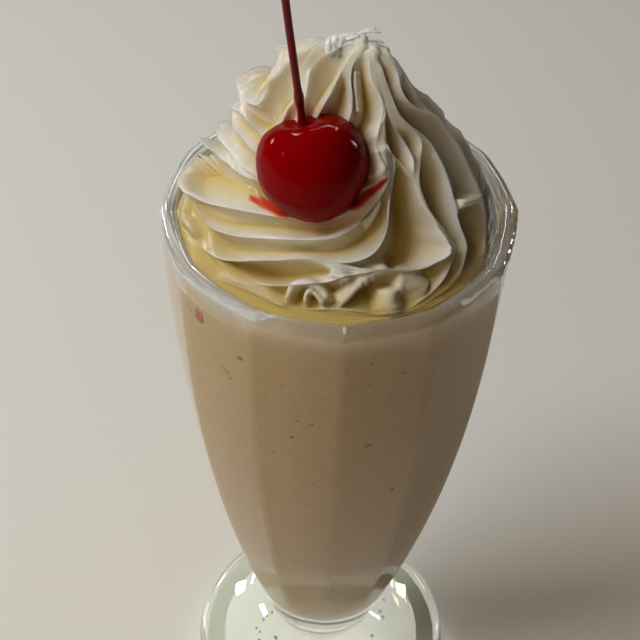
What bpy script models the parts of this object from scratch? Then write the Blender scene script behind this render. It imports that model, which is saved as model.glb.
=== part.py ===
"""Butter pecan milkshake: a footed, fluted soda glass, its drink, piped whipped cream and a cherry.

Metres, +Z up. The origin is the centre of the foot's underside, and -Y is the side with the cherry.
"""

import math

import bmesh
import bpy
from mathutils import Matrix, Vector

MM = 0.001
GAP = 0.3 * MM

# Glass: foot
FOOT_RADIUS = 39.0 * MM
FOOT_FLAT_RADIUS = 36.0 * MM
FOOT_EDGE_HALF_HEIGHT = 3.4 * MM
RECESS_RADIUS = 30.5 * MM
RECESS_HEIGHT = 3.6 * MM
WAIST_RADIUS = 10.5 * MM
WAIST_HEIGHT = 18.5 * MM

# Glass: bowl, lip and the well inside
BOWL_BASE_RADIUS = 17.0 * MM
BOWL_BASE_HEIGHT = 27.5 * MM
BOWL_TOP_RADIUS = 42.0 * MM
BOWL_TOP_HEIGHT = 178.5 * MM
BOWL_SWELL = 1.95
BOWL_ROWS = 12
LIP_RADIUS = 40.45 * MM
LIP_HEIGHT = 182.3 * MM
LIP_HALF_WIDTH = 2.1 * MM
LIP_HALF_HEIGHT = 2.9 * MM
WALL_AT_BASE = 4.2 * MM
WALL_AT_TOP = 3.0 * MM
WELL_HEIGHT = 33.0 * MM
WELL_TOP_HEIGHT = 177.5 * MM
WELL_ROUNDING = 14.0 * MM
WELL_ROWS = 12

# Glass: soft flutes down the bowl, which the lip follows as a scallop
FLUTES = 12
STEPS_PER_FLUTE = 4
FLUTE_TURN = math.radians(4.0)
FLUTES_START = 44.0 * MM
FLAT_PANEL_DEPTH = 1.0 - math.cos(math.pi / FLUTES)
BOWL_FLUTING = 0.85
LIP_FLUTING = 0.45

DRINK_LEVEL = 176.0 * MM

# Whipped cream: pleats that fall from a peak and then turn clockwise round the glass
CREAM_BASE = DRINK_LEVEL + GAP
CREAM_BASE_RADIUS = 37.9 * MM
CREAM_RADIUS = 37.2 * MM
CREAM_EDGE = 179.6 * MM
CREAM_PEAK = 227.4 * MM
CREAM_LEAN = Vector((5.3, 6.5)) * MM
# Shares of the reach, the height and the lean of the crests, each against the share of the way up
CREAM_SPREAD = (
    (0, 1),
    (0.1, 0.98),
    (0.25, 0.87),
    (0.45, 0.67),
    (0.65, 0.47),
    (0.82, 0.3),
    (0.94, 0.14),
    (1, 0.01),
)
CREAM_RISE = (
    (0, 0),
    (0.1, 0.06),
    (0.25, 0.22),
    (0.45, 0.45),
    (0.65, 0.66),
    (0.82, 0.84),
    (0.94, 0.965),
    (1, 1),
)
CREAM_LEANING = ((0, 0), (0.3, 0.25), (0.7, 0.75), (1, 1))
SHOULDER = 8.5 * MM
SHOULDER_BEARING = math.radians(165)
HOLLOW = 5.5 * MM
HOLLOW_BEARING = math.radians(-100)
CREAM_ROWS = 38
STEPS_PER_PLEAT = 5
PLEAT_DEPTH = 7.0 * MM
PLEAT_SWELL = ((0, 0), (0.08, 0.1), (0.2, 0.8), (0.4, 1.0), (0.7, 0.95), (0.9, 0.4), (1, 0.05))
PLEAT_CORNER = 0.55
PLEAT_SOFTENING = 0.05
RUFFLES = 5
RUFFLE_BEARING = 3.2
RUFFLE_HEIGHT = 0.8 * MM
# Each crest: bearing at the peak, bearing and share of the way up where it turns, bearing at the foot
PLEATS = (
    (-200, -196, 0.76, -305),
    (-165, -160, 0.69, -285),
    (-141, -141, 0.56, -262),
    (-120, -118, 0.53, -240),
    (-100, -80, 0.57, -216),
    (-84, -67, 0.49, -190),
    (-68, -60, 0.39, -168),
    (-52, -46, 0.27, -148),
    (-38, -34, 0.22, -100),
    (-30, -27, 0.20, -66),
    (-20, -17, 0.25, -32),
    (8, 5, 0.30, -8),
    (38, 35, 0.38, 10),
    (70, 65, 0.48, 22),
    (100, 97, 0.58, 33),
    (132, 130, 0.68, 44),
)

# Cherry and its stem
CHERRY_CENTRE = Vector((-6.4, -13.0, 206.4)) * MM
CHERRY_RADIUS = 12.2 * MM
CHERRY_HEIGHT = 0.99
CHERRY_TAPER = 0.15
CHERRY_AXIS = Vector((-0.25, 0.42, 0.87)).normalized()
CHERRY_SEGMENTS = 26
CHERRY_RINGS = 18
SHOULDER_SWELL = 0.06
DIMPLE_DEPTH = 0.22
DIMPLE_SPREAD = 0.4
STEM_RADIUS = 0.85 * MM
STEM_LENGTH = 43.0 * MM
STEM_LEAN = Vector((-0.11, 0.0, 1.0)).normalized()
STEM_BOW = Vector((-0.9, 2.6, 0.0)) * MM
STEM_POINTS = 14


def clear_scene():
    for obj in list(bpy.data.objects):
        bpy.data.objects.remove(obj, do_unlink=True)


def new_collection(name):
    collection = bpy.data.collections.new(name)
    bpy.context.scene.collection.children.link(collection)
    return collection


def new_material(name, colour, roughness, alpha=1.0, transmission=0.0):
    material = bpy.data.materials.new(name)
    material.use_nodes = True
    shader = material.node_tree.nodes["Principled BSDF"]
    shader.inputs["Base Color"].default_value = (*colour, 1.0)
    shader.inputs["Roughness"].default_value = roughness
    shader.inputs["Alpha"].default_value = alpha
    shader.inputs["Transmission Weight"].default_value = transmission
    return material


def new_object(name, data, material, collection):
    obj = bpy.data.objects.new(name, data)
    data.materials.append(material)
    collection.objects.link(obj)
    return obj


def smooth_mesh(name, bm):
    """The closed bmesh as a mesh with its faces pointing out."""
    if bm.calc_volume(signed=True) < 0:
        bmesh.ops.reverse_faces(bm, faces=bm.faces)
    mesh = bpy.data.meshes.new(name)
    bm.to_mesh(mesh)
    bm.free()
    mesh.shade_smooth()
    mesh.set_sharp_from_angle(angle=math.radians(50))
    return mesh


def ease(low, high, value):
    """0 up to low, 1 from high, and a smooth step between."""
    t = min(max((value - low) / (high - low), 0.0), 1.0)
    return t * t * (3.0 - 2.0 * t)


def bump(centre, width, value):
    """1 at the centre, falling away like a bell."""
    return math.exp(-(((value - centre) / width) ** 2))


def through(stations, position):
    """A smooth curve through (position, value) pairs."""
    after = next((i for i, pair in enumerate(stations) if position <= pair[0]), len(stations) - 1)
    after = max(after, 1)
    (x0, y0), (x1, y1) = stations[after - 1], stations[after]
    behind = stations[max(after - 2, 0)]
    ahead = stations[min(after + 1, len(stations) - 1)]
    width = x1 - x0
    t = min(max((position - x0) / width, 0.0), 1.0)
    slope_in = (y1 - behind[1]) / (x1 - behind[0]) * width
    slope_out = (ahead[1] - y0) / (ahead[0] - x0) * width
    held = y0 * (1 + 2 * t) * (1 - t) ** 2 + y1 * t * t * (3 - 2 * t)
    return held + slope_in * t * (1 - t) ** 2 + slope_out * t * t * (t - 1)


def arc(centre, radii, start, end, count):
    """Points on an ellipse from one angle to another, in degrees, both ends included."""
    angles = [math.radians(start + (end - start) * i / (count - 1)) for i in range(count)]
    return [(centre[0] + radii[0] * math.cos(a), centre[1] + radii[1] * math.sin(a)) for a in angles]


def spun(profile, steps):
    """A bmesh of the profile's (radius, height) points turned once round the Z axis, closed at its poles."""
    bm = bmesh.new()
    chain = [bm.verts.new((radius, 0.0, height)) for radius, height in profile]
    edges = [bm.edges.new(pair) for pair in zip(chain, chain[1:])]
    turn = {"cent": (0, 0, 0), "axis": (0, 0, 1), "angle": math.tau, "steps": steps, "use_merge": True}
    bmesh.ops.spin(bm, geom=chain + edges, **turn)
    bmesh.ops.remove_doubles(bm, verts=bm.verts, dist=0.001 * MM)
    return bm


def bowl_radius(height):
    """Outside radius of the bowl, which swells fast from its base and stands almost straight at the top."""
    t = min(max((height - BOWL_BASE_HEIGHT) / (BOWL_TOP_HEIGHT - BOWL_BASE_HEIGHT), 0.0), 1.0)
    return BOWL_BASE_RADIUS + (BOWL_TOP_RADIUS - BOWL_BASE_RADIUS) * (1.0 - (1.0 - t) ** BOWL_SWELL)


def well_radius(height):
    """Inside radius of the bowl, with its rounded bottom."""
    t = (height - BOWL_BASE_HEIGHT) / (BOWL_TOP_HEIGHT - BOWL_BASE_HEIGHT)
    wall = WALL_AT_BASE + (WALL_AT_TOP - WALL_AT_BASE) * t
    rounding = min(max((height - WELL_HEIGHT) / WELL_ROUNDING, 0.0), 1.0)
    return (bowl_radius(height) - wall) * math.sqrt(1.0 - (1.0 - rounding) ** 2)


def well_profile(inset):
    """(radius, height) points from the well's bottom to its top, moved in from the glass by the inset."""
    points = [(0.0, WELL_HEIGHT + inset)]
    for row in range(1, WELL_ROWS + 1):
        height = WELL_HEIGHT + (WELL_TOP_HEIGHT - WELL_HEIGHT) * (row / WELL_ROWS) ** 2
        rise = 0.2 * MM
        slope = Vector((well_radius(height + rise) - well_radius(height - rise), 2.0 * rise)).normalized()
        points.append((well_radius(height) - inset * slope.y, height + inset * slope.x))
    return points


def foot_profile():
    """(radius, height) points from the recess under the foot, round its edge and up to the waist."""
    recess = (0, 0.35, 0.68, 0.9, 1)
    points = [(RECESS_RADIUS * share, RECESS_HEIGHT * (1.0 - share**2.2)) for share in recess]
    edge_width = FOOT_RADIUS - FOOT_FLAT_RADIUS
    points += arc((FOOT_FLAT_RADIUS, FOOT_EDGE_HALF_HEIGHT), (edge_width, FOOT_EDGE_HALF_HEIGHT), -90, 72, 6)
    # The foot's top sweeps up to the waist in a hollow curve
    foot_top = 2.0 * FOOT_EDGE_HALF_HEIGHT
    for share in (0.24, 0.46, 0.66, 0.83, 0.95):
        radius = FOOT_FLAT_RADIUS + (WAIST_RADIUS - FOOT_FLAT_RADIUS) * share
        points.append((radius, foot_top + (WAIST_HEIGHT - foot_top) * (0.28 * share + 0.72 * share**3.2)))
    return points


def bowl_profile():
    """(radius, height) points from the waist up the outside of the bowl."""
    knop = BOWL_BASE_HEIGHT - WAIST_HEIGHT
    points = [(WAIST_RADIUS, WAIST_HEIGHT + 0.12 * knop)]
    shoulder = (BOWL_BASE_RADIUS - WAIST_RADIUS, 0.62 * knop)
    points += arc((WAIST_RADIUS, BOWL_BASE_HEIGHT), shoulder, -68, 0, 4)
    for row in range(1, BOWL_ROWS):
        height = BOWL_BASE_HEIGHT + (BOWL_TOP_HEIGHT - BOWL_BASE_HEIGHT) * (row / BOWL_ROWS) ** 1.5
        points.append((bowl_radius(height), height))
    return points


def fluting(height, inside):
    """How deep the flutes are at a height, as a share of the depth of a flat panel."""
    if inside:
        return LIP_FLUTING * ease(WELL_TOP_HEIGHT - 8 * MM, LIP_HEIGHT, height)
    top = ease(BOWL_TOP_HEIGHT - 6 * MM, LIP_HEIGHT, height)
    return ease(BOWL_BASE_HEIGHT, FLUTES_START, height) * (BOWL_FLUTING + (LIP_FLUTING - BOWL_FLUTING) * top)


def make_glass(material, collection):
    outside = foot_profile() + bowl_profile()
    lip = arc((LIP_RADIUS, LIP_HEIGHT), (LIP_HALF_WIDTH, LIP_HALF_HEIGHT), -40, 200, 9)
    bm = spun(outside + lip + well_profile(0.0)[::-1], FLUTES * STEPS_PER_FLUTE)
    bmesh.ops.rotate(bm, verts=bm.verts, cent=(0, 0, 0), matrix=Matrix.Rotation(FLUTE_TURN, 3, "Z"))
    for vert in bm.verts:
        inside = vert.co.xy.length < well_radius(vert.co.z) + 0.1 * MM and vert.co.z > WAIST_HEIGHT
        angle = math.atan2(vert.co.y, vert.co.x) - FLUTE_TURN
        panel = math.sin(0.5 * FLUTES * angle) ** 2
        vert.co.xy *= 1.0 - fluting(vert.co.z, inside) * FLAT_PANEL_DEPTH * panel
    return new_object("glass", smooth_mesh("glass", bm), material, collection)


def make_milkshake(material, collection):
    profile = [point for point in well_profile(GAP) if point[1] < DRINK_LEVEL - 4 * MM]
    edge = well_radius(DRINK_LEVEL) - 3.0 * GAP
    bm = spun(profile + [(edge, DRINK_LEVEL), (0.0, DRINK_LEVEL)], FLUTES * STEPS_PER_FLUTE)
    bmesh.ops.rotate(bm, verts=bm.verts, cent=(0, 0, 0), matrix=Matrix.Rotation(FLUTE_TURN, 3, "Z"))
    return new_object("milkshake", smooth_mesh("milkshake", bm), material, collection)


def cream_envelope(bearing, up):
    """A point on the surface of the crests, which has a shoulder and is hollow under the cherry."""
    reach = CREAM_RADIUS * through(CREAM_SPREAD, up)
    reach += SHOULDER * max(0.0, math.cos(bearing - SHOULDER_BEARING)) * bump(0.66, 0.24, up)
    height = CREAM_EDGE + (CREAM_PEAK - CREAM_EDGE) * through(CREAM_RISE, up)
    height -= HOLLOW * max(0.0, math.cos(bearing - HOLLOW_BEARING)) ** 2 * bump(0.5, 0.25, up)
    lean = CREAM_LEAN * through(CREAM_LEANING, up)
    return Vector((lean.x + reach * math.cos(bearing), lean.y + reach * math.sin(bearing), height))


def envelope_normal(bearing, up):
    step = 0.01
    across = cream_envelope(bearing + step, up) - cream_envelope(bearing - step, up)
    along = cream_envelope(bearing, min(up + step, 1.0)) - cream_envelope(bearing, max(up - step, 0.0))
    return across.cross(along).normalized()


def sharp_crest(pleat, along):
    """Bearing and level at a share of the way along a crest from foot to peak, with a sharp turn."""
    top, turn, level, foot = pleat
    if along > PLEAT_CORNER:
        share = (along - PLEAT_CORNER) / (1.0 - PLEAT_CORNER)
        return Vector((turn + (top - turn) * share, level + (1.0 - level) * share))
    share = 1.0 - along / PLEAT_CORNER
    return Vector((turn + (foot - turn) * share, level * (1.0 - share**1.5)))


def crest(index, along):
    """The crest softened and ruffled. Past the last pleat comes the first one again, a full turn on."""
    turns, index = divmod(index, len(PLEATS))
    soft = PLEAT_SOFTENING * min(1.0, along / 0.1, (1.0 - along) / 0.1)
    near = [sharp_crest(PLEATS[index], along + shift * soft) for shift in (-1, -0.5, 0, 0.5, 1)]
    bearing, up = sum(near, Vector((0.0, 0.0))) / len(near)
    wave = math.sin(math.tau * (RUFFLES * along + 0.37 * index * index))
    bearing += 360.0 * turns + RUFFLE_BEARING * wave * through(PLEAT_SWELL, along)
    return Vector((bearing, up))


def cream_point(turn, along):
    """The surface at a share of a turn across the pleats and a share of the way from foot to peak."""
    index = math.floor(turn * len(PLEATS) + 1e-4)
    across = turn * len(PLEATS) - index
    across -= 0.05 * math.sin(math.tau * across)
    bearing, up = crest(index, along).lerp(crest(index + 1, along), across)
    trough = 1.0 - abs(2.0 * across - 1.0) ** 2.4
    wave = math.sin(math.tau * (1.3 * RUFFLES * along + 0.21 * index * index)) * (1.0 - trough)
    depth = (PLEAT_DEPTH * trough + RUFFLE_HEIGHT * wave) * through(PLEAT_SWELL, along)
    bearing = math.radians(bearing)
    return cream_envelope(bearing, up) - envelope_normal(bearing, up) * depth


def make_cream(material, collection):
    """A spun grid of (turn, along), each point then put in place. Height -1 marks the flat underside."""
    rows = [(1.0 - row / CREAM_ROWS, row / CREAM_ROWS) for row in range(CREAM_ROWS + 1)]
    bm = spun([(0.0, -1.0), (1.0, -1.0)] + rows, len(PLEATS) * STEPS_PER_PLEAT)
    for vert in bm.verts:
        turn = (math.atan2(vert.co.y, vert.co.x) / math.tau) % 1.0
        if vert.co.z >= -0.5:
            vert.co = cream_point(turn, vert.co.z)
            continue
        edge = cream_point(turn, 0.0)
        scale = CREAM_BASE_RADIUS * vert.co.xy.length / edge.xy.length
        vert.co = (edge.x * scale, edge.y * scale, CREAM_BASE)
    return new_object("whipped_cream", smooth_mesh("whipped_cream", bm), material, collection)


def make_cherry(name, radius, material, collection):
    """A ball that narrows towards its foot, with shoulders round a dimple at its pole."""
    bm = bmesh.new()
    bmesh.ops.create_uvsphere(bm, u_segments=CHERRY_SEGMENTS, v_segments=CHERRY_RINGS, radius=1.0)
    for vert in bm.verts:
        from_pole = math.acos(max(-1.0, min(1.0, vert.co.z)))
        swell = SHOULDER_SWELL * bump(0.9, 0.45, from_pole)
        dimple = DIMPLE_DEPTH * bump(0.0, DIMPLE_SPREAD, from_pole)
        vert.co *= radius * (1.0 + swell - dimple)
        vert.co.xy *= 1.0 - CHERRY_TAPER * ease(1.5, 2.8, from_pole)
        vert.co.z *= CHERRY_HEIGHT
    tilt = CHERRY_AXIS.to_track_quat("Z", "Y").to_matrix()
    bmesh.ops.rotate(bm, verts=bm.verts, cent=(0, 0, 0), matrix=tilt)
    obj = new_object(name, smooth_mesh(name, bm), material, collection)
    obj.location = CHERRY_CENTRE
    return obj


def seat_cherry(cream, cutters):
    """Press the cherry's own shape, a gap larger all round, into the cream."""
    seat = make_cherry("cherry_seat", CHERRY_RADIUS + GAP, cream.data.materials[0], cutters)
    seat.hide_render = True
    seat.display_type = "WIRE"
    cut = cream.modifiers.new("cherry_seat", "BOOLEAN")
    cut.operation = "DIFFERENCE"
    cut.solver = "EXACT"
    cut.object = seat


def make_stem(material, collection):
    dimple = CHERRY_RADIUS * CHERRY_HEIGHT * (1.0 - DIMPLE_DEPTH)
    base = CHERRY_CENTRE + CHERRY_AXIS * (dimple + 2.0 * GAP)
    curve = bpy.data.curves.new("cherry_stem", "CURVE")
    curve.dimensions = "3D"
    curve.bevel_depth = STEM_RADIUS
    curve.bevel_resolution = 2
    curve.use_fill_caps = True
    spline = curve.splines.new("POLY")
    spline.points.add(STEM_POINTS - 1)
    for i, point in enumerate(spline.points):
        t = i / (STEM_POINTS - 1)
        place = base + STEM_LEAN * STEM_LENGTH * t + STEM_BOW * math.sin(0.6 * math.pi * t)
        point.co = (*place, 1.0)
        # A flared root, a small joint above it and a knob at the end
        swelling = 0.55 * bump(0.0, 0.05, t) + 0.35 * bump(0.17, 0.03, t)
        point.radius = 1.0 + swelling + 0.5 * ease(0.93, 1.0, t)
    return new_object("cherry_stem", curve, material, collection)


def main():
    clear_scene()
    collection = new_collection("butter_pecan_milkshake")
    cutters = new_collection("cutters")
    glass = new_material("clear_glass", (0.93, 0.95, 0.94), 0.03, alpha=0.35, transmission=1.0)
    shake = new_material("butter_pecan_shake", (0.66, 0.53, 0.36), 0.45)
    cream = new_material("whipped_cream", (0.87, 0.82, 0.66), 0.4)
    fruit = new_material("cherry_flesh", (0.33, 0.0, 0.006), 0.12)
    stalk = new_material("cherry_stalk", (0.16, 0.01, 0.012), 0.35)
    make_glass(glass, collection)
    make_milkshake(shake, collection)
    seat_cherry(make_cream(cream, collection), cutters)
    make_cherry("cherry", CHERRY_RADIUS, fruit, collection)
    make_stem(stalk, collection)


if __name__ == "__main__":
    main()
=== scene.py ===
"""Looks of a butter pecan milkshake: a fluted soda glass, its drink, piped cream and a cherry.

Metres, +Z up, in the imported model's own frame. -Y is the side with the cherry.
"""

import math
import random

import bmesh
import bpy
import numpy as np
from bpy.props import FloatProperty, FloatVectorProperty, IntProperty, PointerProperty
from mathutils import Matrix, Vector, noise


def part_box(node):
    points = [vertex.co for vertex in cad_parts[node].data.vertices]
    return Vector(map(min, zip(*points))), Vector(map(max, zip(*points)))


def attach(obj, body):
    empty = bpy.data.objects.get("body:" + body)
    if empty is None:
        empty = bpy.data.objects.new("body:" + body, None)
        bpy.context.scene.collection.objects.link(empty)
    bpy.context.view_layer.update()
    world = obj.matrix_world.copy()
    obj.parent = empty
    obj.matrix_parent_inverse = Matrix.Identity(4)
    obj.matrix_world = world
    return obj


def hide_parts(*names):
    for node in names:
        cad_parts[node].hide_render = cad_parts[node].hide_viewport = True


bl_info = {
    "name": "Butter Pecan Milkshake",
    "version": (1, 0, 0),
    "blender": (4, 5, 0),
    "location": "View3D > Sidebar > Milkshake",
    "description": "Builds a fluted soda glass with a nut shake, piped cream and a cherry",
    "category": "Add Mesh",
}

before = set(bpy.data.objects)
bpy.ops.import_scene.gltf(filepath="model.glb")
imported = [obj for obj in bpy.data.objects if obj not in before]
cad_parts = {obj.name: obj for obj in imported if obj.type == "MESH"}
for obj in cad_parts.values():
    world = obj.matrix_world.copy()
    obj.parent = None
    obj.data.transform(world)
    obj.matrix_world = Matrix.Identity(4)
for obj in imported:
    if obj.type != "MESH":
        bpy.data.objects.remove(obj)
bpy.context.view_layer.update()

MM = 0.001
BODY = "root"
# Points nearer to each other than this are one
TOUCHING = 0.0001 * MM

# Glass: foot and waist
FOOT_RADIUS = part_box("glass")[1].x - 3.4 * MM
FOOT_FLAT_RADIUS = FOOT_RADIUS - 3.0 * MM
FOOT_EDGE_HALF_HEIGHT = 3.4 * MM
RECESS_RADIUS = 30.5 * MM
RECESS_HEIGHT = 3.6 * MM
RECESS_CURVE = 2.2
WAIST_RADIUS = 10.5 * MM
WAIST_HEIGHT = 18.5 * MM

# Glass: bowl, lip and well
BOWL_BASE_RADIUS = 17.0 * MM
BOWL_BASE_HEIGHT = 27.5 * MM
BOWL_TOP_RADIUS = 42.0 * MM
BOWL_TOP_HEIGHT = 178.5 * MM
BOWL_SWELL = 1.95
LIP_RADIUS = 40.25 * MM
LIP_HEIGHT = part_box("glass")[1].z - 2.4 * MM
LIP_HALF_WIDTH = 2.15 * MM
LIP_HALF_HEIGHT = 1.8 * MM
WALL_AT_BASE = 4.2 * MM
WALL_AT_TOP = 3.0 * MM
WELL_HEIGHT = 33.0 * MM
WELL_TOP_HEIGHT = 177.5 * MM
WELL_ROUNDING = 14.0 * MM
WELL_ROWS = 44
BOWL_ROWS = 60

# Glass: soft flutes, as shares of a flat panel's depth. The middle of each starts lower than its sides, so
# that they end in round tongues near the base
FLUTES = 12
STEPS_PER_FLUTE = 30
FLUTE_TURN = math.radians(2.5)
TONGUES_START = 42.0 * MM
TONGUES_END = 66.0 * MM
TONGUE_LENGTH = 10.0 * MM
FLAT_PANEL_DEPTH = 1.0 - math.cos(math.pi / FLUTES)
BOWL_FLUTING = 0.85
WELL_FLUTING = 0.55
LIP_FLUTING = 0.5
LIP_START = BOWL_TOP_HEIGHT - 12 * MM
# Waves round the lip, left by fire-polishing: how many and where each starts, and their share of the radius
LIP_WAVES = ((23, 1.3), (37, 0.0), (53, 2.1))
LIP_WAVE_SHARE = 0.0015

BUBBLE_SEED = 7
# Air bubbles in the foot that show best: bearing in degrees and reach in mm
BUBBLES = (
    (25, 21.2), (7, 18.7), (-16, 15.5), (-179, 17.1), (176, 15.6), (-172, 19.8), (131, 19.4), (126, 18.1),
    (53, 17.0),
)

# The lip is hazy from here up, round these bearings: partly wear from years of washing, partly a painted
# reflection of the bright room. Degrees, how hazy, and how sharply it fades away from there
WEAR_AND_REFLECTION_HEIGHTS = (181.2 * MM, 182.6 * MM)
WEAR_AND_REFLECTION_SPOTS = ((168, 0.8, 2.0), (15, 0.45, 3.0))

DRINK_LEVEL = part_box("milkshake")[1].z
# What fills the glass reaches this far into its wall, so that no air shows between them
BITE = 0.2 * MM
# The cream meets the wall up to here, higher at the front, and stands this far away from the lip above it
CREAM_CONTACT = 171.0 * MM
CONTACT_RISE = 12.6 * MM
CONTACT_BEARING = math.radians(-82)
SKIRT_GAP = 0.4 * MM
# The rows between the drink's level and the skirt's edge, as shares of the way up
SIDE_ROWS = (0.0, 0.01, 0.12, 0.24, 0.36, 0.5, 0.65, 0.8, 0.93)

# Its thin skirt stands highest at the front left
SKIRT_RISE = 3.3 * MM
SKIRT_BEARING = math.radians(-106)
# The crests' rows leave it by this share of their way
SKIRT_END = 0.09
# It has melted up to about here, and is painted a darker yellow there: partly the melt's own colour, partly
# painted shade low by the lip
MELT_AND_SHADE_HEIGHTS = (181.5 * MM, 189.0 * MM)

# Whipped cream: pleats that fall from a peak and then turn clockwise round the glass
CREAM_RADIUS = 37.2 * MM
CREAM_EDGE = 179.6 * MM
CREAM_PEAK = 227.4 * MM
CREAM_LEAN = np.array((5.3, 6.5)) * MM
# Shares of the reach, the height and the lean of the crests, each against the share of the way up
CREAM_SPREAD = (
    (0, 1), (0.1, 0.98), (0.25, 0.87), (0.45, 0.67), (0.65, 0.47), (0.82, 0.3), (0.94, 0.14), (1, 0.01),
)
CREAM_RISE = (
    (0, 0), (0.1, 0.06), (0.25, 0.22), (0.45, 0.45), (0.65, 0.66), (0.82, 0.84), (0.94, 0.965), (1, 1),
)
CREAM_LEANING = ((0, 0), (0.3, 0.25), (0.7, 0.75), (1, 1))
# A shoulder and a hollow: how large, which way, and the middle and spread of the levels that they take
SHOULDER = 8.5 * MM
SHOULDER_BEARING = math.radians(165)
SHOULDER_LEVELS = (0.66, 0.24)
HOLLOW = 5.5 * MM
HOLLOW_BEARING = math.radians(-100)
HOLLOW_LEVELS = (0.5, 0.25)
CREAM_ROWS = 285
# The first pleats, which show best, are modelled more finely than those behind
FINE_PLEATS = 13
FINE_STEPS = 20
COARSE_STEPS = 9
# Towards the smooth skirt, its thin edges fade out between the first two levels and its folds between the
# others
SKIRT_LEVELS = (0.07, 0.17)
FOLD_LEVELS = (0.07, 0.23)
# Between these levels the painted shade, a yellow between the low wall's ridges, fades out
WALL_SHADE_LEVELS = (0.16, 0.32)
WALL_SHADE_YELLOW = 0.8
# Folds deeper than this get the most painted shade, at their yellowest
SHADE_YELLOW_DEPTH = 3.0 * MM
SHADE_YELLOW_CURVE = 0.4
# A crest's colour lies here between the painted highlight of its palest edge and the painted shade of the
# deepest fold
PALE_SHARE = 0.15
PLEAT_SWELL = ((0, 0), (0.07, 0.12), (0.16, 0.9), (0.3, 1.0), (0.86, 1.0), (0.95, 0.55), (1, 0.1))
PLEAT_CORNER = 0.55
PLEAT_SOFTENING = 0.015
# Slow ruffles in degrees of bearing, and short uneven waves, along every crest: how many and how high
RUFFLES = 5
RUFFLE_BEARING = 0.7
WAVES = ((9, 0.35 * MM), (17, 0.175 * MM), (29, 0.07 * MM))
# The crests on the right outline have lower waves
CALM_CRESTS = slice(10, 17)
CALM_SHARE = 0.3
# A fold is this deep against the distance between its crests, and no deeper than the setting
FOLD_STEEPNESS = 0.8
# Across a pleat, a steep face falls to a crease this far along, and a shelf rises from there
FOLD_ACROSS = 0.38
UNDERCUT = 0.1
# Both are a little hollow, and the points crowd towards the crests
FACE_CURVE = 0.75
SHELF_CURVE = 0.85
CROWDING = 0.09
# The thin edge of a crest turns up this much, and is this wide on its face and on its shelf
EDGE_HEIGHT = 0.45 * MM
EDGE_WIDTHS = (0.3 * MM, 0.8 * MM)
# Crests that come nearer to each other than this merge
MERGED_SPACING = (1.5 * MM, 4.2 * MM)
# Drag lines that the piping tip left across each pleat
DRAG_LINES = 4.0
DRAG_HEIGHT = 0.12 * MM
DRAG_SPACING = 6 * MM
# The peak is torn from these levels up, with a rough skin of this depth and grain
TORN_LEVELS = (0.92, 0.99)
TORN_DEPTH = 0.8 * MM
TORN_GRAIN = 2.6 * MM
TORN_SEED = 5
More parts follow.
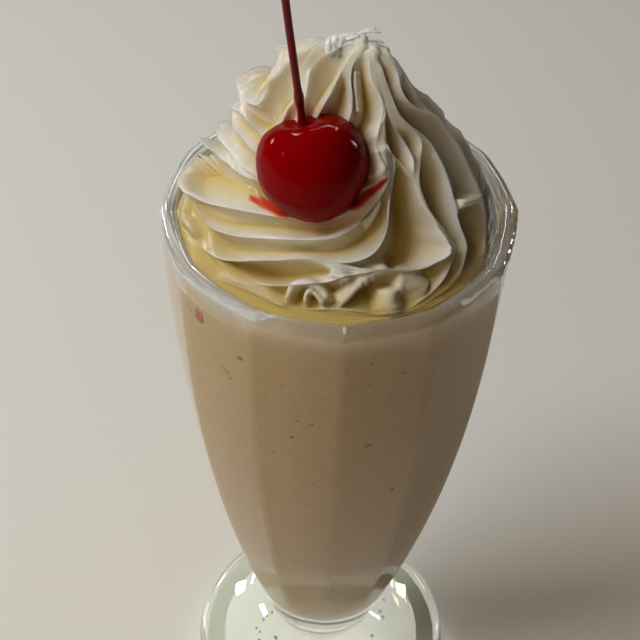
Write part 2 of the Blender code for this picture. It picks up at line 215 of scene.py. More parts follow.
# The course of each crest in degrees of bearing and shares of the way up: first where it runs round the
# glass from its foot to its turn, then where it goes on from there to the peak. In order round the glass
CRESTS = (
    (
        ((-305, 0), (-262, 0.45), (-235, 0.64), (-212, 0.7)),
        ((-214, 0.76), (-213, 0.82), (-214, 0.87), (-222, 0.92), (-232, 1)),
    ),
    (
        ((-285, 0), (-252, 0.33), (-222, 0.56), (-203, 0.61), (-190, 0.62), (-178, 0.65), (-168, 0.69)),
        ((-172, 0.74), (-180, 0.78), (-189, 0.82), (-197, 0.87), (-208, 0.92), (-214, 1)),
    ),
    (
        ((-266, 0), (-240, 0.28), (-215, 0.45), (-190, 0.54), (-178, 0.6), (-169, 0.633), (-152, 0.645)),
        (
            (-148, 0.7), (-148, 0.745), (-152, 0.79), (-158, 0.82), (-170, 0.85), (-186, 0.88),
            (-194, 0.91), (-198, 1),
        ),
    ),
    (
        (
            (-262, 0), (-238, 0.23), (-214, 0.4), (-192, 0.49), (-178, 0.54), (-168, 0.57), (-154, 0.585),
            (-142, 0.6),
        ),
        (
            (-139, 0.7), (-140, 0.76), (-145, 0.8), (-152, 0.83), (-160, 0.86), (-166, 0.89), (-164, 0.93),
            (-165, 1),
        ),
    ),
    (
        (
            (-254, 0), (-232, 0.2), (-212, 0.34), (-195, 0.41), (-177, 0.45), (-164, 0.487), (-154, 0.508),
            (-138, 0.55),
        ),
        ((-128, 0.68), (-128, 0.777), (-128, 0.82), (-130, 0.89), (-131, 0.95), (-136, 1)),
    ),
    (
        (
            (-240, 0), (-218, 0.14), (-200, 0.26), (-180, 0.37), (-170, 0.417), (-158, 0.465),
            (-142, 0.517), (-125, 0.54),
        ),
        ((-112, 0.68), (-104, 0.777), (-107, 0.84), (-113, 0.88), (-119, 0.92), (-118, 1)),
    ),
    (
        (
            (-216, 0), (-196, 0.09), (-175, 0.2), (-153, 0.33), (-126, 0.45), (-102, 0.49), (-84, 0.545),
            (-74, 0.6),
        ),
        (
            (-73, 0.64), (-77, 0.69), (-75, 0.755), (-71, 0.79), (-73, 0.835), (-82, 0.88), (-89, 0.94),
            (-92, 1),
        ),
    ),
    (
        (
            (-196, 0), (-180, 0.16), (-166, 0.205), (-156, 0.22), (-130, 0.34), (-113, 0.398), (-98, 0.43),
            (-86, 0.485), (-67, 0.6),
        ),
        (
            (-66, 0.65), (-71, 0.7), (-72, 0.75), (-69, 0.79), (-70, 0.835), (-78, 0.88), (-84, 0.94),
            (-88, 1),
        ),
    ),
    (
        (
            (-172, 0), (-154, 0.13), (-138, 0.19), (-122, 0.285), (-110, 0.335), (-97, 0.342), (-84, 0.35),
            (-76, 0.385), (-71, 0.45),
        ),
        (
            (-69.5, 0.51), (-67.5, 0.565), (-66.3, 0.6), (-65.3, 0.65), (-70.2, 0.7), (-71.2, 0.75),
            (-68.2, 0.79), (-69, 0.835), (-77, 0.88), (-83, 0.94), (-87, 1),
        ),
    ),
    (
        (
            (-150, 0), (-134, 0.12), (-122, 0.175), (-107, 0.235), (-96, 0.27), (-88, 0.295), (-71, 0.3),
            (-58, 0.258), (-42, 0.262),
        ),
        (
            (-45.5, 0.37), (-50, 0.45), (-51, 0.51), (-51, 0.575), (-49.5, 0.613), (-51, 0.64),
            (-55, 0.685), (-63, 0.735), (-66, 0.765), (-66, 0.8), (-66, 0.84), (-72, 0.9), (-82, 1),
        ),
    ),
    (
        (
            (-150, 0), (-142, 0.07), (-130, 0.122), (-120, 0.135), (-112, 0.122), (-100, 0.147),
            (-92, 0.16), (-80, 0.14), (-74, 0.1), (-64, 0.12), (-48, 0.19), (-38, 0.25),
        ),
        (
            (-41.5, 0.31), (-44.8, 0.37), (-49, 0.45), (-50, 0.51), (-49.5, 0.545), (-47.5, 0.575),
            (-44, 0.602), (-40.5, 0.62), (-39.5, 0.655), (-44, 0.69), (-54, 0.73), (-61, 0.77),
            (-63, 0.835), (-69, 0.9), (-79, 1),
        ),
    ),
    (
        ((-104, 0), (-82, 0.05), (-58, 0.11), (-42, 0.16), (-33, 0.24)),
        (
            (-32, 0.38), (-30, 0.48), (-31, 0.56), (-35, 0.65), (-48, 0.72), (-58, 0.78), (-61, 0.835),
            (-66, 0.9), (-76, 1),
        ),
    ),
    (
        ((-50, 0), (-36, 0.07), (-20, 0.17)),
        (
            (-9, 0.29), (-5, 0.37), (-5, 0.5), (-12, 0.64), (-22, 0.7), (-33, 0.74), (-42, 0.79),
            (-46, 0.83), (-39, 0.885), (-42, 0.92), (-56, 1),
        ),
    ),
    (((-12, 0), (2, 0.12), (14, 0.25)), ((16, 0.42), (5, 0.53), (-14, 0.7), (-24, 0.8), (-34, 1))),
    (((4, 0), (20, 0.2), (36, 0.36)), ((30, 0.6), (12, 0.82), (4, 1))),
    (((16, 0), (38, 0.28), (62, 0.46)), ((54, 0.75), (44, 1))),
    (((28, 0), (58, 0.35), (90, 0.55)), ((82, 1),)),
    (((38, 0), (76, 0.42), (114, 0.62)), ((112, 1),)),
    (((46, 0), (92, 0.48), (133, 0.68)), ((138, 1),)),
)
# How deep the fold before each next crest is, against the others
FOLD_SHARES = (0.5, 1, 1.1, 1.2, 1.2, 1.1, 1.1, 1.1, 1.6, 1, 1.3, 1.4, 1, 0.9, 0.8, 0.8, 0.7, 0.6, 0.5)
# Where petals stand out or crests have sunk: crest, share of the way along, height in mm and half length
PETALS = (
    (0, 0.62, 1.2, 0.1), (0, 0.88, -1.5, 0.08), (1, 0.4, 2.2, 0.08), (4, 0.31, 2.4, 0.06),
    (5, 0.21, 4.2, 0.06), (6, 0.09, 3.6, 0.05), (9, 0.56, 1.5, 0.06), (13, 0.82, -1.2, 0.1),
    (14, 0.84, -4.0, 0.16), (15, 0.86, -4.0, 0.16), (16, 0.88, -3.5, 0.16), (17, 0.88, -2.5, 0.14),
    (18, 0.88, -2.2, 0.14),
)
# Small ridges, curls and lobes: height, width above and width below in mm, then (bearing, up) stations.
# The narrow ones have a flat top and thin edges, and those wider than this are round lumps
WIDE_RIDGE = 3.1 * MM
RIDGE_REACH = 6 * MM
RIDGE_ENDS = 0.15
RIDGES = (
    (0.0, 1.4, 0.6, (-134, 0.325), (-122, 0.372), (-108, 0.405), (-97, 0.438), (-90, 0.475)),
    (0.6, 1.8, 0.8, (-140, 0.103), (-130, 0.132), (-120, 0.15), (-112, 0.135), (-111, 0.115)),
    (
        1.8, 1.4, 1.5, (-108, 0.14), (-109, 0.19), (-108, 0.23), (-105, 0.253), (-100, 0.245), (-96, 0.215),
        (-93, 0.17),
    ),
    (1.5, 1.1, 1.1, (-102, 0.15), (-103, 0.2), (-102, 0.22), (-99, 0.21), (-94, 0.155)),
    (0.8, 3.4, 0.7, (-92, 0.165), (-88, 0.2), (-84, 0.245), (-79, 0.278), (-74, 0.297), (-68, 0.3)),
    (1.6, 4.0, 4.0, (-72, 0.24), (-72, 0.18), (-72, 0.13)),
    (1.2, 2.8, 2.8, (-72, 0.17), (-71, 0.12), (-71, 0.08)),
    (0.0, 4.4, 4.4, (-70, 0.26), (-62, 0.21), (-56, 0.15)),
    (1.2, 2.6, 1.2, (-97, 0.3), (-92, 0.295), (-90, 0.27)),
    (2.4, 2.0, 2.4, (-33, 0.385), (-24, 0.35), (-12, 0.302)),
    (1.8, 2.4, 2.4, (-77, 0.7), (-74, 0.65), (-76, 0.6)),
    (2.6, 1.0, 1.2, (-199, 0.25), (-196, 0.17), (-188, 0.16), (-178, 0.19), (-170, 0.23)),
    (1.8, 1.2, 1.2, (-182, 0.158), (-176, 0.15), (-172, 0.115), (-165, 0.14), (-157, 0.155)),
    (0.0, 1.2, 0.5, (-84, 0.47), (-78, 0.5), (-73, 0.55)),
    (0.2, 0.9, 0.7, (-112, 0.92), (-106, 0.87), (-100, 0.82), (-96, 0.78)),
)
# The cream is tinted pink between these distances from the cherry's middle
BLUSH_REACH = (12.5 * MM, 15.5 * MM)
# Cherry syrup on the cream: half width in mm at the wide end, then (bearing, up) stations from the thin end
SYRUP = (
    (1.1, (-150, 0.405), (-143, 0.43), (-134, 0.455), (-124, 0.475)),
    (1.0, (-71, 0.6), (-76, 0.585), (-82, 0.57), (-90, 0.54)),
)
# Torn wisps at the peak: their ends and how far each bows up, in mm
WISPS = (
    ((0.6, 7.6, 225.6), (7.4, 7.0, 228.2), 1.2, 0.32),
    ((1.0, 8.4, 225.4), (6.4, 8.2, 228.6), 0.6, 0.28),
    ((-1.2, 7.2, 225.0), (4.6, 6.2, 227.4), 0.9, 0.4),
    ((-3.9, 5.0, 221.6), (-3.5, 5.4, 227.6), 0.3, 0.36),
    ((-2.6, 4.4, 221.2), (-2.7, 5.2, 227.2), 0.4, 0.32),
    ((-1.4, 4.2, 220.6), (-1.2, 5.0, 226.6), 0.4, 0.36),
    ((-0.2, 4.2, 220.4), (0.6, 5.4, 226.4), 0.3, 0.3),
    ((3.4, 6.2, 226.4), (8.2, 5.4, 226.6), 0.8, 0.26),
)
# The lumps at the peak: place and radii in mm, and how frayed each is
LUMPS = (
    ((-1.8, 6.9, 223.8), (2.8, 2.4, 3.0), 0.42),
    ((4.3, 6.4, 223.6), (4.0, 3.4, 3.9), 0.1),
)

# Cherry and its stem
CHERRY_CENTRE = Vector((-6.4, -13.0, 206.4)) * MM
CHERRY_HEIGHT = 0.99
CHERRY_TAPER = 0.15
CHERRY_AXIS = Vector((-0.25, 0.42, 0.87)).normalized()
# Its shoulders and its dimple: shares of the radius, and places and spreads in radians from the pole
SHOULDER_SWELL = 0.06
SHOULDER_PLACE = 0.9
SHOULDER_SPREAD = 0.45
DIMPLE_DEPTH = 0.22
DIMPLE_SPREAD = 0.4
STEM_LENGTH = 43.7 * MM
STEM_LEAN = Vector((-0.11, 0.0, 1.0)).normalized()
STEM_BOW = Vector((-0.9, 2.6, 0.0)) * MM
STEM_POINTS = 40

# Nut specks at the glass's wall: bearing in degrees, height and length in mm
NUT_SPECKS = (
    (-78.5, 172.5, 0.9), (-79.0, 165.4, 0.8), (-77.1, 142.1, 2.2), (-96.8, 150.7, 1.1),
    (-104.2, 144.1, 1.4), (-102.2, 150.9, 1.0), (-107.5, 162.7, 0.7), (-132.4, 123.9, 1.3),
    (-111.7, 136.3, 0.8), (-134.9, 115.5, 0.8), (-95.8, 125.4, 1.1), (-98.7, 115.1, 0.8),
    (-63.6, 119.5, 1.7), (-94.9, 169.6, 0.6), (-86.7, 170.7, 0.6), (-67.2, 167.3, 0.9), (-75.3, 145.9, 0.8),
    (-111.6, 121.3, 0.7), (-121.8, 167.5, 2.4), (-132.4, 143.7, 0.7),
)
MORE_SPECKS = 70
SPECK_SEED = 11
SPECK_THICKNESS = 0.3 * MM
# Two larger bits of nut and a drop of syrup there: names, colour, then bearing, height, length and flatness
LARGER_BITS = (
    ("pecan_pieces", "pecan_meat", "D9B86C", (-129.9, 160.1, 3.4, 0.6), (-127.8, 158.0, 2.4, 0.7)),
    ("syrup_drop", "cherry_syrup", "DC7A34", (-141.7, 172.2, 4.0, 1.1)),
)

# Small lamps that sparkle on the cherry and the glass: place, size, watts and colour
LAMPS = (
    ("left_lamp", (-1.0, 0.75, 0.5), (0.3, 0.16), 4.0, "F6F8FF"),
    ("back_strip", (0.0, 1.3, 1.05), (1.3, 0.04), 4.5, "F2F5FF"),
    ("front_lamp", (-0.9, -0.15, 0.75), (0.05, 0.05), 0.6, "FFF8EE"),
    ("high_lamp", (0.1, -0.5, 1.5), (0.04, 0.04), 0.5, "F4F6FF"),
    ("back_lamp_left", (-0.5, 1.0, 1.0), (0.1, 0.1), 2.4, "F4F6FF"),
    ("back_lamp_middle", (0.05, 1.15, 0.85), (0.08, 0.08), 1.6, "FFEFD8"),
    ("back_lamp_right", (0.5, 1.0, 0.95), (0.1, 0.1), 1.4, "FFE2B8"),
    ("side_lamp", (0.95, 0.6, 0.35), (0.06, 0.3), 1.8, "D5E2FF"),
)

# Only the faint ones are seen through the glass, in watts
FAINT_POWER = 2.0
# All lights point here
LIT_PLACE = Vector((0.0, 0.0, 0.17))
# From the glass towards the viewer, where the room is darkest
VIEWER_WAY = (0.0, -0.75, 0.66)

# The camera's place and its turn, as the photograph was taken
CAMERA_PLACE = Vector((-3.673, -254.710, 406.464)) * MM
CAMERA_TILT = math.radians(44.36)
CAMERA_ROLL = math.radians(1.981)
CAMERA_LENS = 80.79


def linear(code):
    """An sRGB hex colour as linear red, green, blue and alpha."""
    shares = [int(code[i : i + 2], 16) / 255 for i in (0, 2, 4)]
    return (*[c / 12.92 if c <= 0.04045 else ((c + 0.055) / 1.055) ** 2.4 for c in shares], 1.0)


def ease(low, high, value):
    """0 up to low, 1 from high, and a smooth step between."""
    t = np.clip((value - low) / (high - low), 0.0, 1.0)
    return t * t * (3.0 - 2.0 * t)


def bump(centre, width, value):
    """1 at the centre, falling away like a bell."""
    return np.exp(-(((value - centre) / width) ** 2))


def through(stations, position):
    """A smooth curve through (position, value) pairs."""
    x, y = np.array(stations, float).T
    inner = (y[2:] - y[:-2]) / (x[2:] - x[:-2])
    ends = (y[1] - y[0]) / (x[1] - x[0]), (y[-1] - y[-2]) / (x[-1] - x[-2])
    slope = np.concatenate(([ends[0]], inner, [ends[1]]))
    cell = np.clip(np.searchsorted(x, position) - 1, 0, len(x) - 2)
    width = x[cell + 1] - x[cell]
    t = np.clip((position - x[cell]) / width, 0.0, 1.0)
    held = y[cell] * (1 + 2 * t) * (1 - t) ** 2 + y[cell + 1] * t * t * (3 - 2 * t)
    return held + width * (slope[cell] * t * (1 - t) ** 2 + slope[cell + 1] * t * t * (t - 1))


def arc(centre, radii, start, end, count):
    """Points on an ellipse from one angle to another, in degrees, both ends included."""
    angles = [math.radians(start + (end - start) * i / (count - 1)) for i in range(count)]
    return [(centre[0] + radii[0] * math.cos(a), centre[1] + radii[1] * math.sin(a)) for a in angles]


def refined(points, count):
    """More points on a smooth curve through these."""
    steps = [0.0]
    for before, after in zip(points, points[1:]):
        steps.append(steps[-1] + math.dist(before, after))
    places = np.linspace(0.0, steps[-1], count)
    radii = through([(s, p[0]) for s, p in zip(steps, points)], places)
    heights = through([(s, p[1]) for s, p in zip(steps, points)], places)
    return list(zip(radii, heights))


def linked(name, data):
    """A new object in the scene."""
    obj = bpy.data.objects.new(name, data)
    bpy.context.scene.collection.objects.link(obj)
    return obj


def mesh_of(name, bm):
    """The bmesh as a mesh, after which it is freed."""
    mesh = bpy.data.meshes.new(name)
    bm.to_mesh(mesh)
    bm.free()
    return mesh


def wrapped(points):
    """A mesh over rows and columns of points."""
    rows, columns = points.shape[:2]
    bm = bmesh.new()
    bmesh.ops.create_grid(bm, x_segments=columns - 1, y_segments=rows - 1, size=1.0)
    mesh = mesh_of("wrapped", bm)
    mesh.vertices.foreach_set("co", points.astype(np.float32).ravel())
    return mesh


def set_shares(mesh, **shares):
    """Gives a wrapped mesh a share from 0 to 1 at each of its points, under each name."""
    for name, values in shares.items():
        layer = mesh.attributes.new(name, "FLOAT", "POINT")
        layer.data.foreach_set("value", values.astype(np.float32).ravel())


def joined(mesh):
    """The mesh as a bmesh, its touching points merged and its faces turned outwards."""
    bm = bmesh.new()
    bm.from_mesh(mesh)
    bpy.data.meshes.remove(mesh)
    bmesh.ops.remove_doubles(bm, verts=bm.verts, dist=TOUCHING)
    bmesh.ops.recalc_face_normals(bm, faces=bm.faces)
    return bm


def round_points(profile, share):
    """Rows of the profile's (radius, height) points turned round the Z axis, each radius cut to its share."""
    angles = FLUTE_TURN + np.linspace(0.0, math.tau, FLUTES * STEPS_PER_FLUTE + 1)
    radii, heights = np.array(profile)[:, :, None].transpose(1, 0, 2)
    radii = radii * share(angles[None, :], heights)
    heights = np.broadcast_to(heights, radii.shape)
    return turned(radii, angles, heights)


def shown(name, bm, materials):
    """An object made from the bmesh, smooth and with these materials."""
    mesh = mesh_of(name, bm)
    for material in materials:
        mesh.materials.append(material)
    mesh.shade_smooth()
    return linked(name, mesh)


def piece(name, bm, materials, node=None):
    """A finished piece on the body, which may stand for a CAD node."""
    obj = shown(name, bm, materials)
    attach(obj, BODY)
    if node:
        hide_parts(node)


def set_inputs(tree, node, inputs):
    """Gives each named input a value or a link."""
    for name, value in inputs.items():
        if isinstance(value, bpy.types.NodeSocket):
            tree.links.new(value, node.inputs[name])
        else:
            node.inputs[name].default_value = value


def add_node(tree, kind, inputs=None, stops=(), **settings):
    """Adds a node, sets its fields and inputs, and gives a colour ramp its (position, colour) stops."""
    node = tree.nodes.new(kind)
    for field, value in settings.items():
        setattr(node, field, value)
    set_inputs(tree, node, inputs or {})
    for i, (position, colour) in enumerate(stops):
        stop = node.color_ramp.elements[i] if i < 2 else node.color_ramp.elements.new(position)
        stop.position, stop.color = position, colour
    return node


def new_material(name):
    """A new material, its tree and shader, and the places on a piece that its patterns follow."""
    material = bpy.data.materials.new(name)
    material.use_nodes = True
    tree = material.node_tree
    place = add_node(tree, "ShaderNodeTexCoord").outputs["Object"]
    return material, tree, tree.nodes["Principled BSDF"], place


def colour_setting(name, description, code):
    return FloatVectorProperty(name=name, description=description, subtype="COLOR", default=linear(code)[:3])


def length_setting(name, description, length):
    return FloatProperty(name=name, description=description, default=length, unit="LENGTH")


def power_setting(name, description, watts):
    return FloatProperty(name=name, description=description, default=watts, min=0.0)


class GlassSettings(bpy.types.PropertyGroup):
    tint: colour_setting("Tint", "Colour of the clear glass", "F6F9F6")
    bubble_count: IntProperty(name="Bubbles", description="More air bubbles in the foot", default=12, min=0)
    bubble_size: length_setting("Bubble size", "Radius of the largest bubble", 0.75 * MM)


class DrinkSettings(bpy.types.PropertyGroup):
    shake: colour_setting("Shake", "Colour of the drink", "D6B684")
    speck: colour_setting("Specks", "Colour of the nut specks", "8F7B50")


class CreamSettings(bpy.types.PropertyGroup):
    # Painted highlight: the thin edges are paler than the cream, standing in for light shining through them
    edge: colour_setting("Edges", "Colour of the crests' thin edges", "FAF8F0")
    crest: colour_setting("Crests", "Colour of the cream's crests", "E8E2D0")
    # Painted shade: darker and yellower, standing in for shade and warm scattered light deep in the folds
    fold: colour_setting("Folds", "Colour deep in the folds", "DAC070")
    # Partly the thin melted cream's own colour, partly painted shade low down by the lip
    melted: colour_setting("Melted", "Colour of its thin wet edge", "CCB264")
    depth: length_setting("Pleat depth", "Depth of the folds", 7.0 * MM)


class CherrySettings(bpy.types.PropertyGroup):
    radius: length_setting("Radius", "The cherry's radius", 12.2 * MM)
    skin: colour_setting("Skin", "Colour of the cherry", "8A0104")
    stem_radius: length_setting("Stem radius", "Radius of the stem", 0.85 * MM)
    stem: colour_setting("Stem", "Colour of the stem", "74080F")


class StageSettings(bpy.types.PropertyGroup):
    floor: colour_setting("Floor", "Colour of the plain floor", "FAF6EA")
    key_power: power_setting("Key light", "Power of the key light in watts", 10.6)
    top_power: power_setting("Top light", "Power of the light high up at the back in watts", 2.6)
    front_power: power_setting("Front light", "Power of the soft light in front in watts", 2.0)
    fill: power_setting("Fill", "Strength of the light all round", 0.07)


def bowl_radius(height):
    """Outside radius of the bowl, which swells fast from its base and stands almost straight at the top."""
    t = np.clip((height - BOWL_BASE_HEIGHT) / (BOWL_TOP_HEIGHT - BOWL_BASE_HEIGHT), 0.0, 1.0)
    return BOWL_BASE_RADIUS + (BOWL_TOP_RADIUS - BOWL_BASE_RADIUS) * (1.0 - (1.0 - t) ** BOWL_SWELL)


def well_radius(height):
    """Inside radius of the bowl, with its rounded bottom."""
    t = (height - BOWL_BASE_HEIGHT) / (BOWL_TOP_HEIGHT - BOWL_BASE_HEIGHT)
    wall = WALL_AT_BASE + (WALL_AT_TOP - WALL_AT_BASE) * t
    rounding = np.clip((height - WELL_HEIGHT) / WELL_ROUNDING, 0.0, 1.0)
    return (bowl_radius(height) - wall) * np.sqrt(1.0 - (1.0 - rounding) ** 2)


def well_profile(inset=0.0):
    """(radius, height) points from the well's bottom to its top, moved in from the glass by the inset."""
    points = [(0.0, WELL_HEIGHT + inset)]
    for row in range(1, WELL_ROWS + 1):
        height = WELL_HEIGHT + (WELL_TOP_HEIGHT - WELL_HEIGHT) * (row / WELL_ROWS) ** 2
        rise = 0.2 * MM
        slope = Vector((well_radius(height + rise) - well_radius(height - rise), 2.0 * rise)).normalized()
        points.append((max(well_radius(height) - inset * slope.y, 0.05 * MM), height + inset * slope.x))
    return points


def recess_height(reach):
    """Height of the shallow recess under the foot."""
    return RECESS_HEIGHT * (1.0 - (reach / RECESS_RADIUS) ** RECESS_CURVE)


def foot_profile():
    """(radius, height) points from the recess under the foot, round its edge and up to the waist."""
    reaches = [RECESS_RADIUS * i / 14 for i in range(15)]
    points = [(reach, recess_height(reach)) for reach in reaches]
    edge = (FOOT_RADIUS - FOOT_FLAT_RADIUS, FOOT_EDGE_HALF_HEIGHT)
    points += arc((FOOT_FLAT_RADIUS, FOOT_EDGE_HALF_HEIGHT), edge, -90, 72, 18)
    foot_top = 2.0 * FOOT_EDGE_HALF_HEIGHT
    knop = BOWL_BASE_HEIGHT - WAIST_HEIGHT
    sweep = [points[-1]]
    for share in (0.24, 0.46, 0.66, 0.83, 0.95):
        radius = FOOT_FLAT_RADIUS + (WAIST_RADIUS - FOOT_FLAT_RADIUS) * share
        sweep.append((radius, foot_top + (WAIST_HEIGHT - foot_top) * (0.28 * share + 0.72 * share**3.2)))
    sweep.append((WAIST_RADIUS, WAIST_HEIGHT + 0.12 * knop))
    shoulder = (BOWL_BASE_RADIUS - WAIST_RADIUS, 0.62 * knop)
    sweep += arc((WAIST_RADIUS, BOWL_BASE_HEIGHT), shoulder, -68, 0, 4)
    return points + refined(sweep, 54)[1:]


def outer_profile():
    """(radius, height) points from under the foot, up the outside and over the lip to its top."""
    points = foot_profile()
    for row in range(1, BOWL_ROWS):
        height = BOWL_BASE_HEIGHT + (BOWL_TOP_HEIGHT - BOWL_BASE_HEIGHT) * (row / BOWL_ROWS) ** 1.5
        points.append((bowl_radius(height), height))
    return points + arc((LIP_RADIUS, LIP_HEIGHT), (LIP_HALF_WIDTH, LIP_HALF_HEIGHT), -40, 90, 20)


def inner_profile():
    """(radius, height) points from the lip's top down to the bottom of the well."""
    points = arc((LIP_RADIUS, LIP_HEIGHT), (LIP_HALF_WIDTH, LIP_HALF_HEIGHT), 96, 200, 16)
    return points + well_profile()[::-1]


def turned(reach, bearing, height):
    """Points at these reaches and bearings from the glass's axis."""
    return np.stack((reach * np.cos(bearing), reach * np.sin(bearing), height), -1)


def scallop(angle):
    """0 on the crisp edges between flutes and 1 at the middle of each."""
    place = (angle - FLUTE_TURN) * FLUTES / math.tau % 1.0
    return 1.0 - (2.0 * place - 1.0) ** 2


def fluted_share(angle, height, fluting):
    """What the flutes leave of a radius; they start in rounded tongues and fade into the lip's scallop."""
    dip = scallop(angle)
    start = ease(TONGUES_START, TONGUES_END, height + TONGUE_LENGTH * (dip - 0.5))
    lip = ease(LIP_START, LIP_HEIGHT, height)
    depth = fluting * start * (1.0 - lip) + LIP_FLUTING * lip
    waves = LIP_WAVE_SHARE * lip * sum(np.sin(count * angle + shift) for count, shift in LIP_WAVES)
    return 1.0 - FLAT_PANEL_DEPTH * dip * depth - np.abs(waves)


def outside_share(angle, height):
    return fluted_share(angle, height, BOWL_FLUTING)


def inside_share(angle, height):
    return fluted_share(angle, height, WELL_FLUTING)


def wall_radius(angle, height):
    """Radius of the glass's inner face, up to the lip's narrowest place."""
    height = np.minimum(height, LIP_HEIGHT)
    plain = well_radius(np.minimum(height, WELL_TOP_HEIGHT))
    lip = LIP_RADIUS - LIP_HALF_WIDTH
    plain = plain + (lip - plain) * ease(WELL_TOP_HEIGHT, LIP_HEIGHT, height)
    return plain * inside_share(angle, height)


def soda_glass_material(settings):
    """Soda-lime glass, pressed and fire-polished: clear, smooth and faintly grey-green where it is thick, with
    a hazy lip that is partly wear and partly painted reflection.
    """
    material, tree, shader, place = new_material("soda_lime_glass")
    # Fine streaks under a millimetre wide and some 15 mm long run round the lip: partly wear, partly painted
    # reflection, their pale grey-white standing in for mirrored light
    parts = add_node(tree, "ShaderNodeSeparateXYZ", {0: place}).outputs
    flat = add_node(tree, "ShaderNodeCombineXYZ", {0: parts[0], 1: parts[1]}).outputs[0]
    reach = add_node(tree, "ShaderNodeVectorMath", {0: flat}, operation="LENGTH").outputs["Value"]
    across = add_node(tree, "ShaderNodeCombineXYZ", {0: reach, 1: parts[2]}).outputs[0]
    wide = add_node(tree, "ShaderNodeVectorMath", {0: across, "Scale": 1.3 / MM}, operation="SCALE")
    long = add_node(tree, "ShaderNodeVectorMath", {0: flat, "Scale": 0.055 / MM}, operation="SCALE")
    both = add_node(tree, "ShaderNodeVectorMath", {0: wide.outputs[0], 1: long.outputs[0]}, operation="ADD")
    streaks = add_node(tree, "ShaderNodeTexNoise", {"Vector": both.outputs[0], "Scale": 1.0, "Detail": 2.0})
    stops = ((0.36, linear("6C7874")), (0.62, linear("F2F6F3")))
    haze_and_glints = add_node(tree, "ShaderNodeValToRGB", {"Fac": streaks.outputs["Fac"]}, stops)
    wear = add_node(tree, "ShaderNodeAttribute", attribute_name="wear").outputs["Fac"]
    # Where the lip is hazy it takes the streaks' colour, partly wear and partly a painted reflection
    colours = {0: wear, 6: (*settings.tint, 1.0), 7: haze_and_glints.outputs["Color"]}
    colour = add_node(tree, "ShaderNodeMix", colours, data_type="RGBA").outputs[2]
    clear = add_node(tree, "ShaderNodeMath", {0: 1.0, 1: wear}, operation="SUBTRACT").outputs[0]
    values = {"Base Color": colour, "Roughness": 0.0, "IOR": 1.52, "Transmission Weight": clear}
    set_inputs(tree, shader, values)
    # Light passes straight through on its way to what the glass holds
    light = add_node(tree, "ShaderNodeLightPath").outputs["Is Shadow Ray"]
    open_way = add_node(tree, "ShaderNodeBsdfTransparent", {"Color": (0.88, 0.9, 0.88, 1.0)})
    mixed = add_node(tree, "ShaderNodeMixShader", {0: light, 1: shader.outputs[0], 2: open_way.outputs[0]})
    tree.links.new(mixed.outputs[0], tree.nodes["Material Output"].inputs["Surface"])
    return material


def lip_wear(points):
    """How hazy the glass is at each point: wear, and a painted reflection that is strongest on the lip's left
    and right.
    """
    bearing = np.arctan2(points[..., 1], points[..., 0])
    wear = sum(
        share * (0.5 + 0.5 * np.cos(bearing - math.radians(degrees))) ** sharpness
        for degrees, share, sharpness in WEAR_AND_REFLECTION_SPOTS
    )
    return ease(*WEAR_AND_REFLECTION_HEIGHTS, points[..., 2]) * wear


def build_glass(settings):
    outer = round_points(outer_profile(), outside_share)
    inner = round_points(inner_profile(), inside_share)
    points = np.concatenate((outer, inner))
    mesh = wrapped(points)
    set_shares(mesh, wear=lip_wear(points))
    bm = joined(mesh)
    add_bubbles(bm, settings)
    piece("soda_glass", bm, [soda_glass_material(settings)], node="glass")


def add_bubbles(bm, settings):
    """Small round air bubbles sealed in the thick foot, their faces pointing into the air."""
    draw = random.Random(BUBBLE_SEED)
    more = [(draw.uniform(-180, 180), draw.uniform(13, 27)) for _ in range(settings.bubble_count)]
    for degrees, reach in (*BUBBLES, *more):
        bearing, reach = math.radians(degrees), reach * MM
        height = recess_height(reach) + draw.uniform(1.6, 2.6) * MM
        place = Matrix.Translation((reach * math.cos(bearing), reach * math.sin(bearing), height))
        radius = settings.bubble_size * draw.uniform(0.5, 1.0)
        made = bmesh.ops.create_icosphere(bm, subdivisions=2, radius=radius, matrix=place)
        faces = {face for vert in made["verts"] for face in vert.link_faces}
        bmesh.ops.reverse_faces(bm, faces=list(faces))


def shake_material(settings):
    """Blended ice cream and milk, thick and opaque: soft satin, faintly mottled by ground nuts."""
    material, tree, shader, place = new_material("nut_milkshake")
    # Ground nuts a few tenths of a millimetre across, drawn coarse enough to show
    grain = add_node(tree, "ShaderNodeTexNoise", {"Vector": place, "Scale": 0.9 / MM, "Detail": 3.0})
    colour = np.array(settings.shake)
    stops = ((0.3, (*(colour * 0.9), 1.0)), (0.6, (*colour, 1.0)))
    shade = add_node(tree, "ShaderNodeValToRGB", {"Fac": grain.outputs["Fac"]}, stops)
    set_inputs(tree, shader, {"Base Color": shade.outputs["Color"], "Roughness": 0.45, "IOR": 1.36})
    return material


def build_drink(settings):
    profile = [point for point in well_profile(-BITE) if point[1] < DRINK_LEVEL - 2 * MM]
    # Two points close together keep the edge crisp
    edge = well_radius(DRINK_LEVEL) + BITE
    profile += [(edge, DRINK_LEVEL - 0.03 * MM), (edge, DRINK_LEVEL), (0.0, DRINK_LEVEL)]
    bm = joined(wrapped(round_points(profile, inside_share)))
    piece("nut_shake", bm, [shake_material(settings)], node="milkshake")


def speck_material(name, colour):
    """Bits of pecan skin, brown and a little shiny where the drink wets them."""
    material, tree, shader, place = new_material(name)
    grain = add_node(tree, "ShaderNodeTexNoise", {"Vector": place, "Scale": 1.5 / MM})
    colours = {0: grain.outputs["Fac"], 6: (*colour, 1.0), 7: (*[0.55 * c for c in colour], 1.0)}
    dark = add_node(tree, "ShaderNodeMix", colours, data_type="RGBA")
    set_inputs(tree, shader, {"Base Color": dark.outputs[2], "Roughness": 0.5, "Specular IOR Level": 0.2})
    return material


